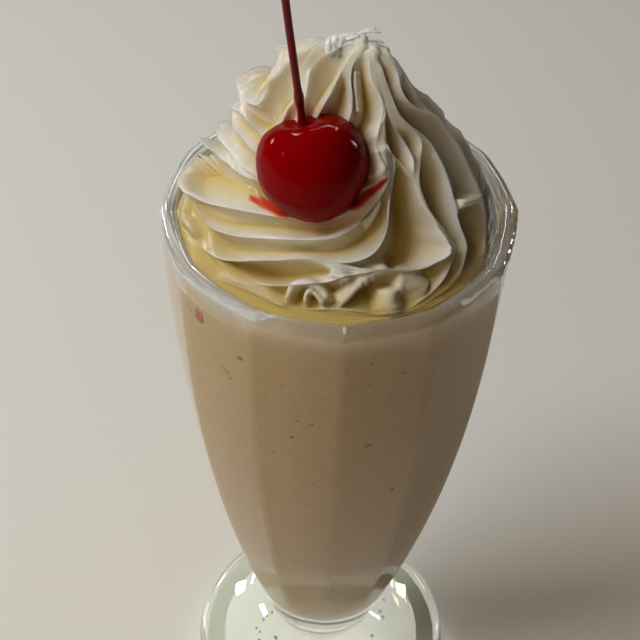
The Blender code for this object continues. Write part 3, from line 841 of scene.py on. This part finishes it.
def add_speck(bm, bearing, height, size, draw, flat=0.45):
    """A flake that lies against the wall: along its length, across it, and thin towards the glass."""
    angle = math.radians(bearing)
    reach = wall_radius(angle, height * MM) + BITE - 0.02 * MM
    made = bmesh.ops.create_icosphere(bm, subdivisions=2, radius=0.5)
    size *= MM
    for vert in made["verts"]:
        vert.co *= 1.0 + 0.35 * noise.noise(vert.co * 2.2 + Vector((bearing, height, 0)))
        vert.co *= Vector((SPECK_THICKNESS, size, size * flat))
    lie = Matrix.Rotation(angle, 4, "Z") @ Matrix.Rotation(draw.uniform(-0.5, 0.5), 4, "X")
    place = Matrix.Translation((reach * math.cos(angle), reach * math.sin(angle), height * MM))
    bmesh.ops.transform(bm, matrix=place @ lie, verts=made["verts"])


def build_specks(settings):
    draw = random.Random(SPECK_SEED)
    bm = bmesh.new()
    for bearing, height, size in NUT_SPECKS:
        add_speck(bm, bearing, height, size, draw)
    for _ in range(MORE_SPECKS):
        add_speck(bm, draw.uniform(-45, 215), draw.uniform(60, 172), draw.uniform(0.4, 1.1), draw)
    piece("pecan_specks", bm, [speck_material("pecan_skin", settings.speck)])
    for name, look, code, *places in LARGER_BITS:
        bm = bmesh.new()
        for bearing, height, size, flat in places:
            add_speck(bm, bearing, height, size, draw, flat)
        piece(name, bm, [speck_material(look, linear(code)[:3])])


def skirt_rise(bearing):
    return SKIRT_RISE * np.maximum(0.0, np.cos(bearing - SKIRT_BEARING)) ** 0.7


def cream_envelope(bearing, up):
    """Points on the surface of the crests, which has a shoulder and is hollow under the cherry."""
    reach = CREAM_RADIUS * through(CREAM_SPREAD, up)
    reach += SHOULDER * np.maximum(0.0, np.cos(bearing - SHOULDER_BEARING)) * bump(*SHOULDER_LEVELS, up)
    height = CREAM_EDGE + (CREAM_PEAK - CREAM_EDGE) * through(CREAM_RISE, up)
    height -= HOLLOW * np.maximum(0.0, np.cos(bearing - HOLLOW_BEARING)) ** 2 * bump(*HOLLOW_LEVELS, up)
    height += skirt_rise(bearing) * (1.0 - ease(0.0, SKIRT_LEVELS[1], up))
    lean = CREAM_LEAN[:, None] * through(CREAM_LEANING, up)
    return np.stack((lean[0] + reach * np.cos(bearing), lean[1] + reach * np.sin(bearing), height), 1)


def envelope_normal(bearing, up):
    step = 0.01
    across = cream_envelope(bearing + step, up) - cream_envelope(bearing - step, up)
    above, below = np.minimum(up + step, 1.0), np.maximum(up - step, 0.0)
    along = cream_envelope(bearing, above) - cream_envelope(bearing, below)
    normal = np.cross(across, along)
    return normal / np.linalg.norm(normal, axis=1)[:, None]


def crest_at(crest, along):
    """Bearing and level of one crest at shares of the way from its foot to the peak."""
    run, rise = crest
    foot, (turn, turn_level) = run[0][0], run[-1]
    bearing = foot + (turn - foot) * np.clip(along / PLEAT_CORNER, 0.0, 1.0)
    above = along > PLEAT_CORNER
    beyond = np.clip((along - PLEAT_CORNER) / (1.0 - PLEAT_CORNER), 0.0, 1.0)
    level = turn_level + (1.0 - turn_level) * beyond
    rising = through([(up, at) for at, up in (run[-1], *rise)], level)
    return np.stack((np.where(above, rising, bearing), np.where(above, level, through(run, bearing))))


def crest_rails(along):
    """All crests, softened and ruffled: bearings and levels, in a row for each share and a column for each."""
    soft = PLEAT_SOFTENING * np.minimum(1.0, np.minimum(along / 0.1, (1.0 - along) / 0.1))
    rails = []
    for index, crest in enumerate(CRESTS):
        rail = sum(crest_at(crest, along + shift * soft) for shift in (-1, -0.5, 0, 0.5, 1)) / 5
        wave = np.sin(math.tau * (RUFFLES * along + 0.37 * index * index))
        rail[0] += RUFFLE_BEARING * wave * through(PLEAT_SWELL, along)
        rails.append(rail)
    rails.append(rails[0] + np.array([[360.0], [0.0]]))
    return np.stack(rails, 2)


def crest_lifts(along):
    """How far each crest stands out: its petals, and short waves that differ from crest to crest."""
    lifts = np.zeros((len(along), len(CRESTS) + 1))
    for index in range(len(CRESTS)):
        for count, height in WAVES:
            lifts[:, index] += height * np.sin(math.tau * count * (along + 0.61 * index))
    lifts[:, CALM_CRESTS] *= CALM_SHARE
    lifts *= (through(PLEAT_SWELL, along) * (1.0 - ease(0.7, 0.9, along)))[:, None]
    for index, place, height, width in PETALS:
        lifts[:, index] += height * MM * bump(place, width, along)
    lifts[:, -1] = lifts[:, 0]
    return lifts


def spacing(bearings, levels):
    """How far apart neighbouring crests lie, square to their course."""
    shape = bearings.shape
    points = cream_envelope(np.radians(bearings).ravel(), levels.ravel()).reshape(*shape, 3)
    course = np.gradient(points, axis=0)
    course /= np.linalg.norm(course, axis=2)[:, :, None] + 1e-9
    apart = points[:, 1:] - points[:, :-1]
    apart -= (apart * course[:, :-1]).sum(2)[:, :, None] * course[:, :-1]
    return np.linalg.norm(apart, axis=2)


def on_envelope(stations):
    """A smooth line of points on the envelope through (bearing, up) stations."""
    steps = np.linspace(0.0, len(stations) - 1.0, 4 * len(stations))
    bearing = through([(i, station[0]) for i, station in enumerate(stations)], steps)
    level = through([(i, station[1]) for i, station in enumerate(stations)], steps)
    return cream_envelope(np.radians(bearing), level)


def offset_from(points, line):
    """The way from each point to the nearest place on a line, and that place's share of the line."""
    nearest = np.full(len(points), np.inf)
    offset, share = np.zeros_like(points), np.zeros(len(points))
    for i, (start, end) in enumerate(zip(line, line[1:])):
        along = np.clip((points - start) @ (end - start) / ((end - start) @ (end - start)), 0.0, 1.0)
        way = start + along[:, None] * (end - start) - points
        closer = (way * way).sum(1) < nearest
        nearest[closer] = (way * way).sum(1)[closer]
        offset[closer] = way[closer]
        share[closer] = (i + along[closer]) / (len(line) - 1)
    return offset, share


def ridge_shares(points):
    """How far the small ridges fill the fold at each point, and how high they stand above the crests."""
    shares, heights = np.zeros(len(points)), np.zeros(len(points))
    for height, above, below, *stations in RIDGES:
        line = on_envelope(stations)
        near = np.flatnonzero((np.abs(points - line.mean(0)) < np.ptp(line, 0) / 2 + RIDGE_REACH).all(1))
        offset, share = offset_from(points[near], line)
        width = np.where(offset[:, 2] < 0, above, below) * MM
        away = np.linalg.norm(offset, axis=1) / width
        flat, rounded = np.clip(1.5 - 1.5 * away, 0.0, 1.0) ** 0.8, np.clip(1.0 - away**2, 0.0, 1.0)
        profile = np.where(width < WIDE_RIDGE, flat, rounded)
        profile *= ease(0.0, RIDGE_ENDS, share) * ease(0.0, RIDGE_ENDS, 1.0 - share) * 0.98
        shares[near] = np.maximum(shares[near], profile)
        heights[near] = np.maximum(heights[near], height * MM * profile)
    return shares, heights


def pleat_places():
    """Places across all pleats: the pleat's number and the share of the way across it."""
    counts = [FINE_STEPS if pleat < FINE_PLEATS else COARSE_STEPS for pleat in range(len(CRESTS))]
    places = [pleat + np.arange(count) / count for pleat, count in enumerate(counts)]
    return np.append(np.concatenate(places), len(CRESTS))


def cream_points(depth, along):
    """Rows and columns of points over the pleats, how much painted shade or painted highlight each has, and
    where cherry syrup lies.
    """
    bearings, levels = crest_rails(along)
    place = pleat_places()
    index = np.minimum(place.astype(int), len(CRESTS) - 1)
    across = place - index
    across = np.clip(across - CROWDING * np.sin(math.tau * across), 0.0, 1.0)
    face = np.clip(across / FOLD_ACROSS, 0.0, 1.0)
    shelf = np.clip((1.0 - across) / (1.0 - FOLD_ACROSS), 0.0, 1.0)
    fold = np.minimum(face**FACE_CURVE, shelf**SHELF_CURVE)
    swell = through(PLEAT_SWELL, along)[:, None]
    slide = across - UNDERCUT * np.sin(math.pi * face**0.8) * swell
    bearing = np.radians(bearings[:, index] * (1.0 - slide) + bearings[:, index + 1] * slide).ravel()
    level = (levels[:, index] * (1.0 - slide) + levels[:, index + 1] * slide).ravel()
    apart = spacing(bearings, levels)
    deepest = depth * np.tanh(FOLD_STEEPNESS * apart / depth) * np.array(FOLD_SHARES)
    deepest = deepest * ease(*MERGED_SPACING, apart)
    deepest = deepest * ease(*FOLD_LEVELS, 0.5 * (levels[:, 1:] + levels[:, :-1]))
    apart, deepest = apart[:, index], deepest[:, index]
    lifts = crest_lifts(along)
    high, low = np.maximum(lifts, 0.0), np.minimum(lifts, 0.0)
    lift = high[:, index] * np.clip(1.0 - 1.6 * slide, 0.0, 1.0) ** 1.5
    lift += high[:, index + 1] * np.clip(1.6 * slide - 0.6, 0.0, 1.0) ** 1.5
    lift += low[:, index] * (1.0 - across) + low[:, index + 1] * across
    edge = np.exp(-across * apart / EDGE_WIDTHS[0]) + np.exp((across - 1.0) * apart / EDGE_WIDTHS[1])
    rows = (len(along), len(place))
    edge *= swell * ease(*SKIRT_LEVELS, level.reshape(rows)) * ease(*MERGED_SPACING, apart)
    lift += EDGE_HEIGHT * edge
    phase = DRAG_LINES * across + 0.7 * np.sin(9.0 * along[:, None] + 1.7 * index)
    drag = DRAG_HEIGHT * np.sin(math.tau * phase) * np.sin(math.pi * across)
    lift += drag * np.minimum(apart / DRAG_SPACING, 1)
    surface, outward = cream_envelope(bearing, level), envelope_normal(bearing, level)
    ridge, height = ridge_shares(surface)
    lift = lift.ravel() + height - (deepest * fold * swell).ravel() * (1.0 - ridge)
    points = (surface + lift[:, None] * outward).reshape(*rows, 3)
    tear(points, along)
    # The last column is the first again, so that the seam closes
    points[:, -1] = points[:, 0]
    # Painted shade: the face is as pale as the crest, and the shelf is painted yellowest in the crease, where
    # shade falls, and more so in a deep fold
    painted_shade_and_highlight = np.where(across < FOLD_ACROSS, 0.3 * face, 0.1 + 0.9 * shelf) * fold**SHADE_YELLOW_CURVE
    painted_shade_and_highlight = painted_shade_and_highlight * swell * np.clip(deepest / SHADE_YELLOW_DEPTH, 0.0, 1.0)
    # Painted shade: the wall above the skirt is painted yellow between its ridges, however shallow its folds
    # are
    wall = WALL_SHADE_YELLOW * fold**SHADE_YELLOW_CURVE * (1.0 - ease(*WALL_SHADE_LEVELS, level.reshape(rows)))
    painted_shade_and_highlight = np.maximum(painted_shade_and_highlight, wall) * (1.0 - 0.85 * ridge.reshape(rows))
    # 0 along the thin edges, which are painted palest as a highlight
    painted_shade_and_highlight = (PALE_SHARE + (1.0 - PALE_SHARE) * painted_shade_and_highlight) * (1.0 - np.minimum(edge, 1.0))
    return points, painted_shade_and_highlight, syrup_share(surface.reshape(points.shape))


def tear(points, along):
    """Roughens the rows of points near the peak."""
    rough = along > TORN_LEVELS[0]
    torn = points[rough]
    noise.seed_set(TORN_SEED)
    skin = np.array([noise.turbulence_vector(Vector(p) / TORN_GRAIN, 2, False) for p in torn.reshape(-1, 3)])
    points[rough] += TORN_DEPTH * ease(*TORN_LEVELS, along[rough])[:, None, None] * skin.reshape(torn.shape)


def cream_material(settings):
    """Piped dairy cream: dense, smooth and satin, with light passing through its thin crests."""
    material, tree, shader, place = new_material("whipped_dairy_cream")
    names = ("fold", "melt", "blush", "syrup")
    fold, melt, blush, syrup = (
        add_node(tree, "ShaderNodeAttribute", attribute_name=name).outputs["Fac"] for name in names
    )
    # Painted highlight on the thin edges, the crests' own colour, and painted shade deep in the folds
    stops = ((0.0, (*settings.edge, 1.0)), (0.9, (*settings.fold, 1.0)), (PALE_SHARE, (*settings.crest, 1.0)))
    colour = add_node(tree, "ShaderNodeValToRGB", {"Fac": fold}, stops).outputs["Color"]
    # Round the edge it lies thin, wet and yellow, a yellow that is partly melt and partly painted shade; close
    # by the cherry it is tinted pink, and the cherry's syrup has run along two crests
    faint = add_node(tree, "ShaderNodeMath", {0: blush, 1: 0.4}, operation="MULTIPLY").outputs[0]
    layers = ((melt, (*settings.melted, 1.0)), (faint, linear("E59A80")), (syrup, linear("D2401A")))
    for share, over in layers:
        mix = add_node(tree, "ShaderNodeMix", {0: share, 6: colour, 7: over}, data_type="RGBA")
        colour = mix.outputs[2]
    # Air bubbles of about half a millimetre, and drag marks a few millimetres long
    fine = add_node(tree, "ShaderNodeTexNoise", {"Vector": place, "Scale": 1.4 / MM, "Detail": 2.0})
    rough = add_node(tree, "ShaderNodeTexNoise", {"Vector": place, "Scale": 0.35 / MM, "Detail": 4.0})
    grains = {0: fine.outputs["Fac"], 1: rough.outputs["Fac"]}
    depths = {"Height": add_node(tree, "ShaderNodeMath", grains, operation="ADD").outputs[0]}
    relief = add_node(tree, "ShaderNodeBump", {**depths, "Strength": 0.25, "Distance": 0.2 * MM})
    values = {
        "Base Color": colour,
        "Roughness": 0.4,
        "IOR": 1.4,
        "Subsurface Weight": 0.7,
        "Subsurface Radius": (1.0, 0.85, 0.6),
        "Subsurface Scale": 1.2 * MM,
        "Coat Weight": 0.15,
        "Coat Roughness": 0.2,
        "Normal": relief.outputs["Normal"],
    }
    set_inputs(tree, shader, values)
    return material


def build_cream(settings):
    along = np.arange(CREAM_ROWS + 1) / CREAM_ROWS
    points, fold, syrup = cream_points(settings.depth, along)
    points = fit_to_glass(points, along[:, None])
    side = side_of_cream(points[0])
    middle = side[:1] * (0.0, 0.0, 1.0)
    peak = np.broadcast_to(points[-1].mean(0), points[:1].shape)
    below = len(side) + 1
    shares = [np.concatenate((np.zeros_like(share[:below]), share, share[-1:])) for share in (fold, syrup)]
    points = np.concatenate((middle, side, points, peak))
    # Below these heights the cream is painted yellower: partly melt, partly painted shade
    melt = 1.0 - ease(*MELT_AND_SHADE_HEIGHTS, points[..., 2])
    blush = 1.0 - ease(*BLUSH_REACH, np.linalg.norm(points - np.array(CHERRY_CENTRE), axis=-1))
    mesh = wrapped(points)
    set_shares(mesh, fold=shares[0], melt=melt, syrup=shares[1], blush=blush)
    # Against the glass the cream has melted into the drink, so that side has the drink's material
    columns = fold.shape[1] - 1
    sides = np.arange(len(mesh.polygons)) < below * columns
    mesh.polygons.foreach_set("material_index", sides.astype(np.int32))
    materials = [cream_material(settings), bpy.data.materials["nut_milkshake"]]
    bm = joined(mesh)
    add_torn_peak(bm)
    piece("piped_cream", bm, materials, node="whipped_cream")


def add_torn_peak(bm):
    """Lumps and thin wisps, where the piping tip tore away."""
    for place, radii, ragged in LUMPS:
        made = bmesh.ops.create_icosphere(bm, subdivisions=4, radius=1.0)
        for vert in made["verts"]:
            frayed = 0.8 + ragged * noise.turbulence(vert.co * 2.4, 4, True)
            vert.co = Vector([(c * r * frayed + at) * MM for c, r, at in zip(vert.co, radii, place)])
    for start, end, bow, radius in WISPS:
        add_wisp(bm, Vector(start) * MM, Vector(end) * MM, bow * MM, radius * MM)


def add_wisp(bm, start, end, bow, radius):
    """A thin strand that bows upwards and tapers to both ends."""
    sides, rings = 8, 18
    across = (end - start).cross(Vector((0, 0, 1))).normalized()
    over = across.cross(end - start).normalized()
    rows = []
    for i in range(1, rings):
        t = i / rings
        uneven = 1.0 + 0.5 * noise.noise(Vector((9.0 * t, start.x / MM, end.z / MM)))
        girth = max(radius * uneven * math.sin(math.pi * t) ** 0.5, 0.02 * MM)
        centre = start.lerp(end, t) + over * (bow * math.sin(math.pi * t))
        turns = [math.tau * k / sides for k in range(sides + 1)]
        rows.append([centre + girth * (1.6 * math.cos(a) * across + math.sin(a) * over) for a in turns])
    rows = [[start] * (sides + 1), *rows, [end] * (sides + 1)]
    mesh = mesh_of("strand", joined(wrapped(np.array(rows))))
    bm.from_mesh(mesh)
    bpy.data.meshes.remove(mesh)


def syrup_share(surface):
    """Where the cream carries cherry syrup, told from places on the crests' surface."""
    ragged = 0.05 * np.sin(surface @ (1500.0, 700.0, 1100.0))
    syrup = np.zeros(surface.shape[:-1])
    for width, *stations in SYRUP:
        offset, share = offset_from(surface.reshape(-1, 3), on_envelope(stations))
        away = np.linalg.norm(offset, axis=1).reshape(syrup.shape)
        width = width * MM * (1.0 + ragged) * (0.35 + 0.65 * share.reshape(syrup.shape))
        syrup = np.maximum(syrup, 1.0 - ease(0.7, 1.7, away / width))
    return syrup


def side_of_cream(edge):
    """Rows of points from the drink's level, where the cream meets the glass, up to the skirt's free edge."""
    bearing = np.arctan2(edge[:, 1], edge[:, 0])
    contact = CREAM_CONTACT + CONTACT_RISE * np.maximum(0.0, np.cos(bearing - CONTACT_BEARING)) ** 2
    rows = []
    for share in SIDE_ROWS:
        height = DRINK_LEVEL * (1.0 - share) + edge[:, 2] * share
        reach = wall_radius(bearing, height) + BITE - SKIRT_GAP * ease(0.0, 1.0 * MM, height - contact)
        rows.append(turned(reach, bearing, height))
    return np.array(rows)


def fit_to_glass(points, along):
    """Draws the cream's foot out to the lip, as a smooth skirt that stands highest at the front left."""
    bearing = np.arctan2(points[..., 1], points[..., 0])
    height = CREAM_EDGE + skirt_rise(bearing)
    reach = wall_radius(bearing, height) + BITE - SKIRT_GAP - 0.1 * MM
    skirt = turned(reach, bearing, height)
    return points + (skirt - points) * (1.0 - ease(0.0, SKIRT_END, along))[..., None]


def cherry_material(settings):
    """A preserved cherry: taut skin dyed deep red, wet with syrup, so that it mirrors the lights."""
    material, tree, shader, place = new_material("syruped_cherry")
    # Fine puckers of about a millimetre in the skin
    pucker = add_node(tree, "ShaderNodeTexNoise", {"Vector": place, "Scale": 0.52 / MM, "Detail": 3.0})
    depths = {"Height": pucker.outputs["Fac"], "Strength": 0.35, "Distance": 0.3 * MM}
    relief = add_node(tree, "ShaderNodeBump", depths)
    values = {
        "Base Color": (*settings.skin, 1.0),
        "Roughness": 0.3,
        "IOR": 1.36,
        "Specular IOR Level": 0.0,
        "Coat Weight": 0.4,
        "Coat IOR": 1.25,
        "Coat Roughness": 0.01,
        "Coat Normal": relief.outputs["Normal"],
    }
    set_inputs(tree, shader, values)
    return material


def build_cherry(settings):
    """A ball that narrows towards its foot, with shoulders round a dimple at its pole."""
    bm = bmesh.new()
    bmesh.ops.create_uvsphere(bm, u_segments=120, v_segments=80, radius=1.0)
    for vert in bm.verts:
        from_pole = math.acos(max(-1.0, min(1.0, vert.co.z)))
        swell = SHOULDER_SWELL * bump(SHOULDER_PLACE, SHOULDER_SPREAD, from_pole)
        dimple = DIMPLE_DEPTH * bump(0.0, DIMPLE_SPREAD, from_pole)
        uneven = 0.02 * noise.noise(vert.co * 1.7) + 0.006 * noise.noise(vert.co * 6.0)
        vert.co *= settings.radius * (1.0 + swell - dimple + uneven)
        vert.co.xy *= 1.0 - CHERRY_TAPER * ease(1.5, 2.8, from_pole)
        vert.co.z *= CHERRY_HEIGHT
    tilt = CHERRY_AXIS.to_track_quat("Z", "Y").to_matrix().to_4x4()
    bmesh.ops.transform(bm, matrix=Matrix.Translation(CHERRY_CENTRE) @ tilt, verts=bm.verts)
    piece("syruped_cherry", bm, [cherry_material(settings)], node="cherry")


def stalk_material(settings):
    """A cherry stalk dyed with its fruit: dark red-brown, wet, with fine lengthwise grain."""
    material, tree, shader, place = new_material("dyed_stalk")
    # Fibres half a millimetre apart, drawn out lengthwise
    long = add_node(tree, "ShaderNodeMapping", {"Vector": place, "Scale": (1.0, 1.0, 0.12)})
    grain = add_node(tree, "ShaderNodeTexNoise", {"Vector": long.outputs[0], "Scale": 1.8 / MM})
    depths = {"Height": grain.outputs["Fac"], "Strength": 0.3, "Distance": 0.2 * MM}
    relief = add_node(tree, "ShaderNodeBump", depths)
    values = {
        "Base Color": (*settings.stem, 1.0),
        "Roughness": 0.35,
        "Specular IOR Level": 0.15,
        "Coat Weight": 0.2,
        "Coat Roughness": 0.08,
        "Normal": relief.outputs["Normal"],
    }
    set_inputs(tree, shader, values)
    return material


def build_stem(settings):
    dimple = settings.radius * CHERRY_HEIGHT * (1.0 - DIMPLE_DEPTH)
    base = CHERRY_CENTRE + CHERRY_AXIS * (dimple - 0.4 * MM)
    curve = bpy.data.curves.new("cherry_stalk", "CURVE")
    curve.dimensions = "3D"
    curve.bevel_depth = settings.stem_radius
    curve.bevel_resolution = 6
    curve.use_fill_caps = True
    spline = curve.splines.new("POLY")
    spline.points.add(STEM_POINTS - 1)
    for i, point in enumerate(spline.points):
        t = i / (STEM_POINTS - 1)
        place = base + STEM_LEAN * STEM_LENGTH * t + STEM_BOW * math.sin(0.6 * math.pi * t)
        point.co = (*place, 1.0)
        # A flared root, a small joint above it and a knob at the end
        swelling = 0.55 * bump(0.0, 0.05, t) + 0.35 * bump(0.17, 0.03, t)
        point.radius = 1.0 + swelling + 0.5 * ease(0.93, 1.0, t)
    guide = linked("cherry_stalk_guide", curve)
    mesh = bpy.data.meshes.new_from_object(guide.evaluated_get(bpy.context.evaluated_depsgraph_get()))
    bpy.data.objects.remove(guide)
    piece("cherry_stalk", joined(mesh), [stalk_material(settings)], node="cherry_stem")


def floor_material(settings):
    """Matt painted board, plain and pale."""
    material, tree, shader, place = new_material("plain_floor")
    mottle = add_node(tree, "ShaderNodeTexNoise", {"Vector": place, "Scale": 0.006 / MM, "Detail": 2.0})
    relief = add_node(tree, "ShaderNodeBump", {"Height": mottle.outputs["Fac"], "Strength": 0.02})
    values = {"Base Color": (*settings.floor, 1.0), "Roughness": 0.6, "Normal": relief.outputs["Normal"]}
    set_inputs(tree, shader, values)
    return material


def add_light(name, place, size, power, colour):
    data = bpy.data.lights.new(name, "AREA")
    data.shape = "RECTANGLE"
    data.size, data.size_y = size
    data.energy = power
    data.color = linear(colour)[:3]
    light = linked(name, data)
    light.location = place
    light.rotation_euler = (LIT_PLACE - Vector(place)).to_track_quat("-Z", "Y").to_euler()
    return light


def build_world(strength):
    """A dim room: darkest above the viewer, so that the cherry and the glass stay deep, paler behind."""
    world = bpy.data.worlds.new("studio")
    world.use_nodes = True
    tree = world.node_tree
    direction = add_node(tree, "ShaderNodeTexCoord").outputs["Generated"]
    ways = {0: direction, 1: VIEWER_WAY}
    towards = add_node(tree, "ShaderNodeVectorMath", ways, operation="DOT_PRODUCT").outputs["Value"]
    share = add_node(tree, "ShaderNodeMapRange", {"Value": towards, "From Min": -1.0}).outputs[0]
    stops = ((0.3, linear("F2DDB8")), (0.95, linear("6A5234")))
    ramp = add_node(tree, "ShaderNodeValToRGB", {"Fac": share}, stops)
    set_inputs(tree, tree.nodes["Background"], {"Color": ramp.outputs["Color"], "Strength": strength})
    bpy.context.scene.world = world


def build_stage(settings):
    bm = bmesh.new()
    bmesh.ops.create_grid(bm, x_segments=1, y_segments=1, size=2.5)
    floor = shown("floor", bm, [floor_material(settings)])
    # The wide lights are kept out of mirrors, so that the cherry stays deep, and as the glass already lets
    # light straight through, they aren't seen through it as well
    key = add_light("key_light", (-0.8, -0.15, 1.15), (0.7, 0.7), settings.key_power, "F8FBFF")
    top = add_light("top_light", (-0.75, 0.7, 1.1), (0.7, 0.7), settings.top_power, "FAFAFF")
    front = add_light("front_light", (-0.5, -0.95, 0.95), (0.9, 0.6), settings.front_power, "FFDCA8")
    for wide in (key, top, front):
        wide.visible_glossy = False
        wide.visible_transmission = False
    # Small lamps that only sparkle on the cherry and the glass
    for name, place, size, power, colour in LAMPS:
        lamp = add_light(name, place, size, power, colour)
        lamp.visible_diffuse = False
        lamp.visible_transmission = power < FAINT_POWER
    build_world(settings.fill)
    data = bpy.data.cameras.new("camera")
    data.lens = CAMERA_LENS
    data.clip_start = 0.01
    camera = linked("camera", data)
    turn = Matrix.Rotation(CAMERA_TILT, 4, "X") @ Matrix.Rotation(CAMERA_ROLL, 4, "Z")
    camera.matrix_world = Matrix.Translation(CAMERA_PLACE) @ turn
    bpy.context.scene.camera = camera
    bpy.context.scene.view_settings.view_transform = "Standard"


class MILKSHAKE_OT_stage(bpy.types.Operator):
    """Adds the floor, the lights and the camera"""

    bl_idname = "milkshake.stage"
    bl_label = "Stage"

    def execute(self, context):
        build_stage(context.scene.milkshake_stage)
        return {"FINISHED"}


class MILKSHAKE_OT_glass(bpy.types.Operator):
    """Builds the fluted soda glass"""

    bl_idname = "milkshake.glass"
    bl_label = "Glass"

    def execute(self, context):
        build_glass(context.scene.milkshake_glass)
        return {"FINISHED"}


class MILKSHAKE_OT_drink(bpy.types.Operator):
    """Fills the glass with the shake and its nut specks"""

    bl_idname = "milkshake.drink"
    bl_label = "Drink"

    def execute(self, context):
        build_drink(context.scene.milkshake_drink)
        build_specks(context.scene.milkshake_drink)
        return {"FINISHED"}


class MILKSHAKE_OT_cream(bpy.types.Operator):
    """Pipes the whipped cream"""

    bl_idname = "milkshake.cream"
    bl_label = "Whipped cream"

    def execute(self, context):
        build_cream(context.scene.milkshake_cream)
        return {"FINISHED"}


class MILKSHAKE_OT_cherry(bpy.types.Operator):
    """Sets the cherry and its stem on the cream"""

    bl_idname = "milkshake.cherry"
    bl_label = "Cherry"

    def execute(self, context):
        build_cherry(context.scene.milkshake_cherry)
        build_stem(context.scene.milkshake_cherry)
        return {"FINISHED"}


OPERATORS = (
    MILKSHAKE_OT_stage,
    MILKSHAKE_OT_glass,
    MILKSHAKE_OT_drink,
    MILKSHAKE_OT_cream,
    MILKSHAKE_OT_cherry,
)
SETTINGS = {
    "milkshake_glass": GlassSettings,
    "milkshake_drink": DrinkSettings,
    "milkshake_cream": CreamSettings,
    "milkshake_cherry": CherrySettings,
    "milkshake_stage": StageSettings,
}


class MILKSHAKE_PT_panel(bpy.types.Panel):
    """Lists the pieces and their settings"""

    bl_idname = "MILKSHAKE_PT_panel"
    bl_label = "Milkshake"
    bl_space_type = "VIEW_3D"
    bl_region_type = "UI"
    bl_category = "Milkshake"

    def draw(self, context):
        for operator in OPERATORS:
            self.layout.operator(operator.bl_idname)
        for name, group in SETTINGS.items():
            box = self.layout.box()
            for field in group.__annotations__:
                box.prop(getattr(context.scene, name), field)


def register():
    for group in SETTINGS.values():
        bpy.utils.register_class(group)
    for name, group in SETTINGS.items():
        setattr(bpy.types.Scene, name, PointerProperty(type=group))
    for operator in OPERATORS:
        bpy.utils.register_class(operator)
    bpy.utils.register_class(MILKSHAKE_PT_panel)


def unregister():
    bpy.utils.unregister_class(MILKSHAKE_PT_panel)
    for operator in reversed(OPERATORS):
        bpy.utils.unregister_class(operator)
    for name in SETTINGS:
        delattr(bpy.types.Scene, name)
    for group in reversed(list(SETTINGS.values())):
        bpy.utils.unregister_class(group)


def main():
    register()
    bpy.ops.milkshake.stage()
    bpy.ops.milkshake.glass()
    bpy.ops.milkshake.drink()
    bpy.ops.milkshake.cream()
    bpy.ops.milkshake.cherry()


if __name__ == "__main__":
    main()
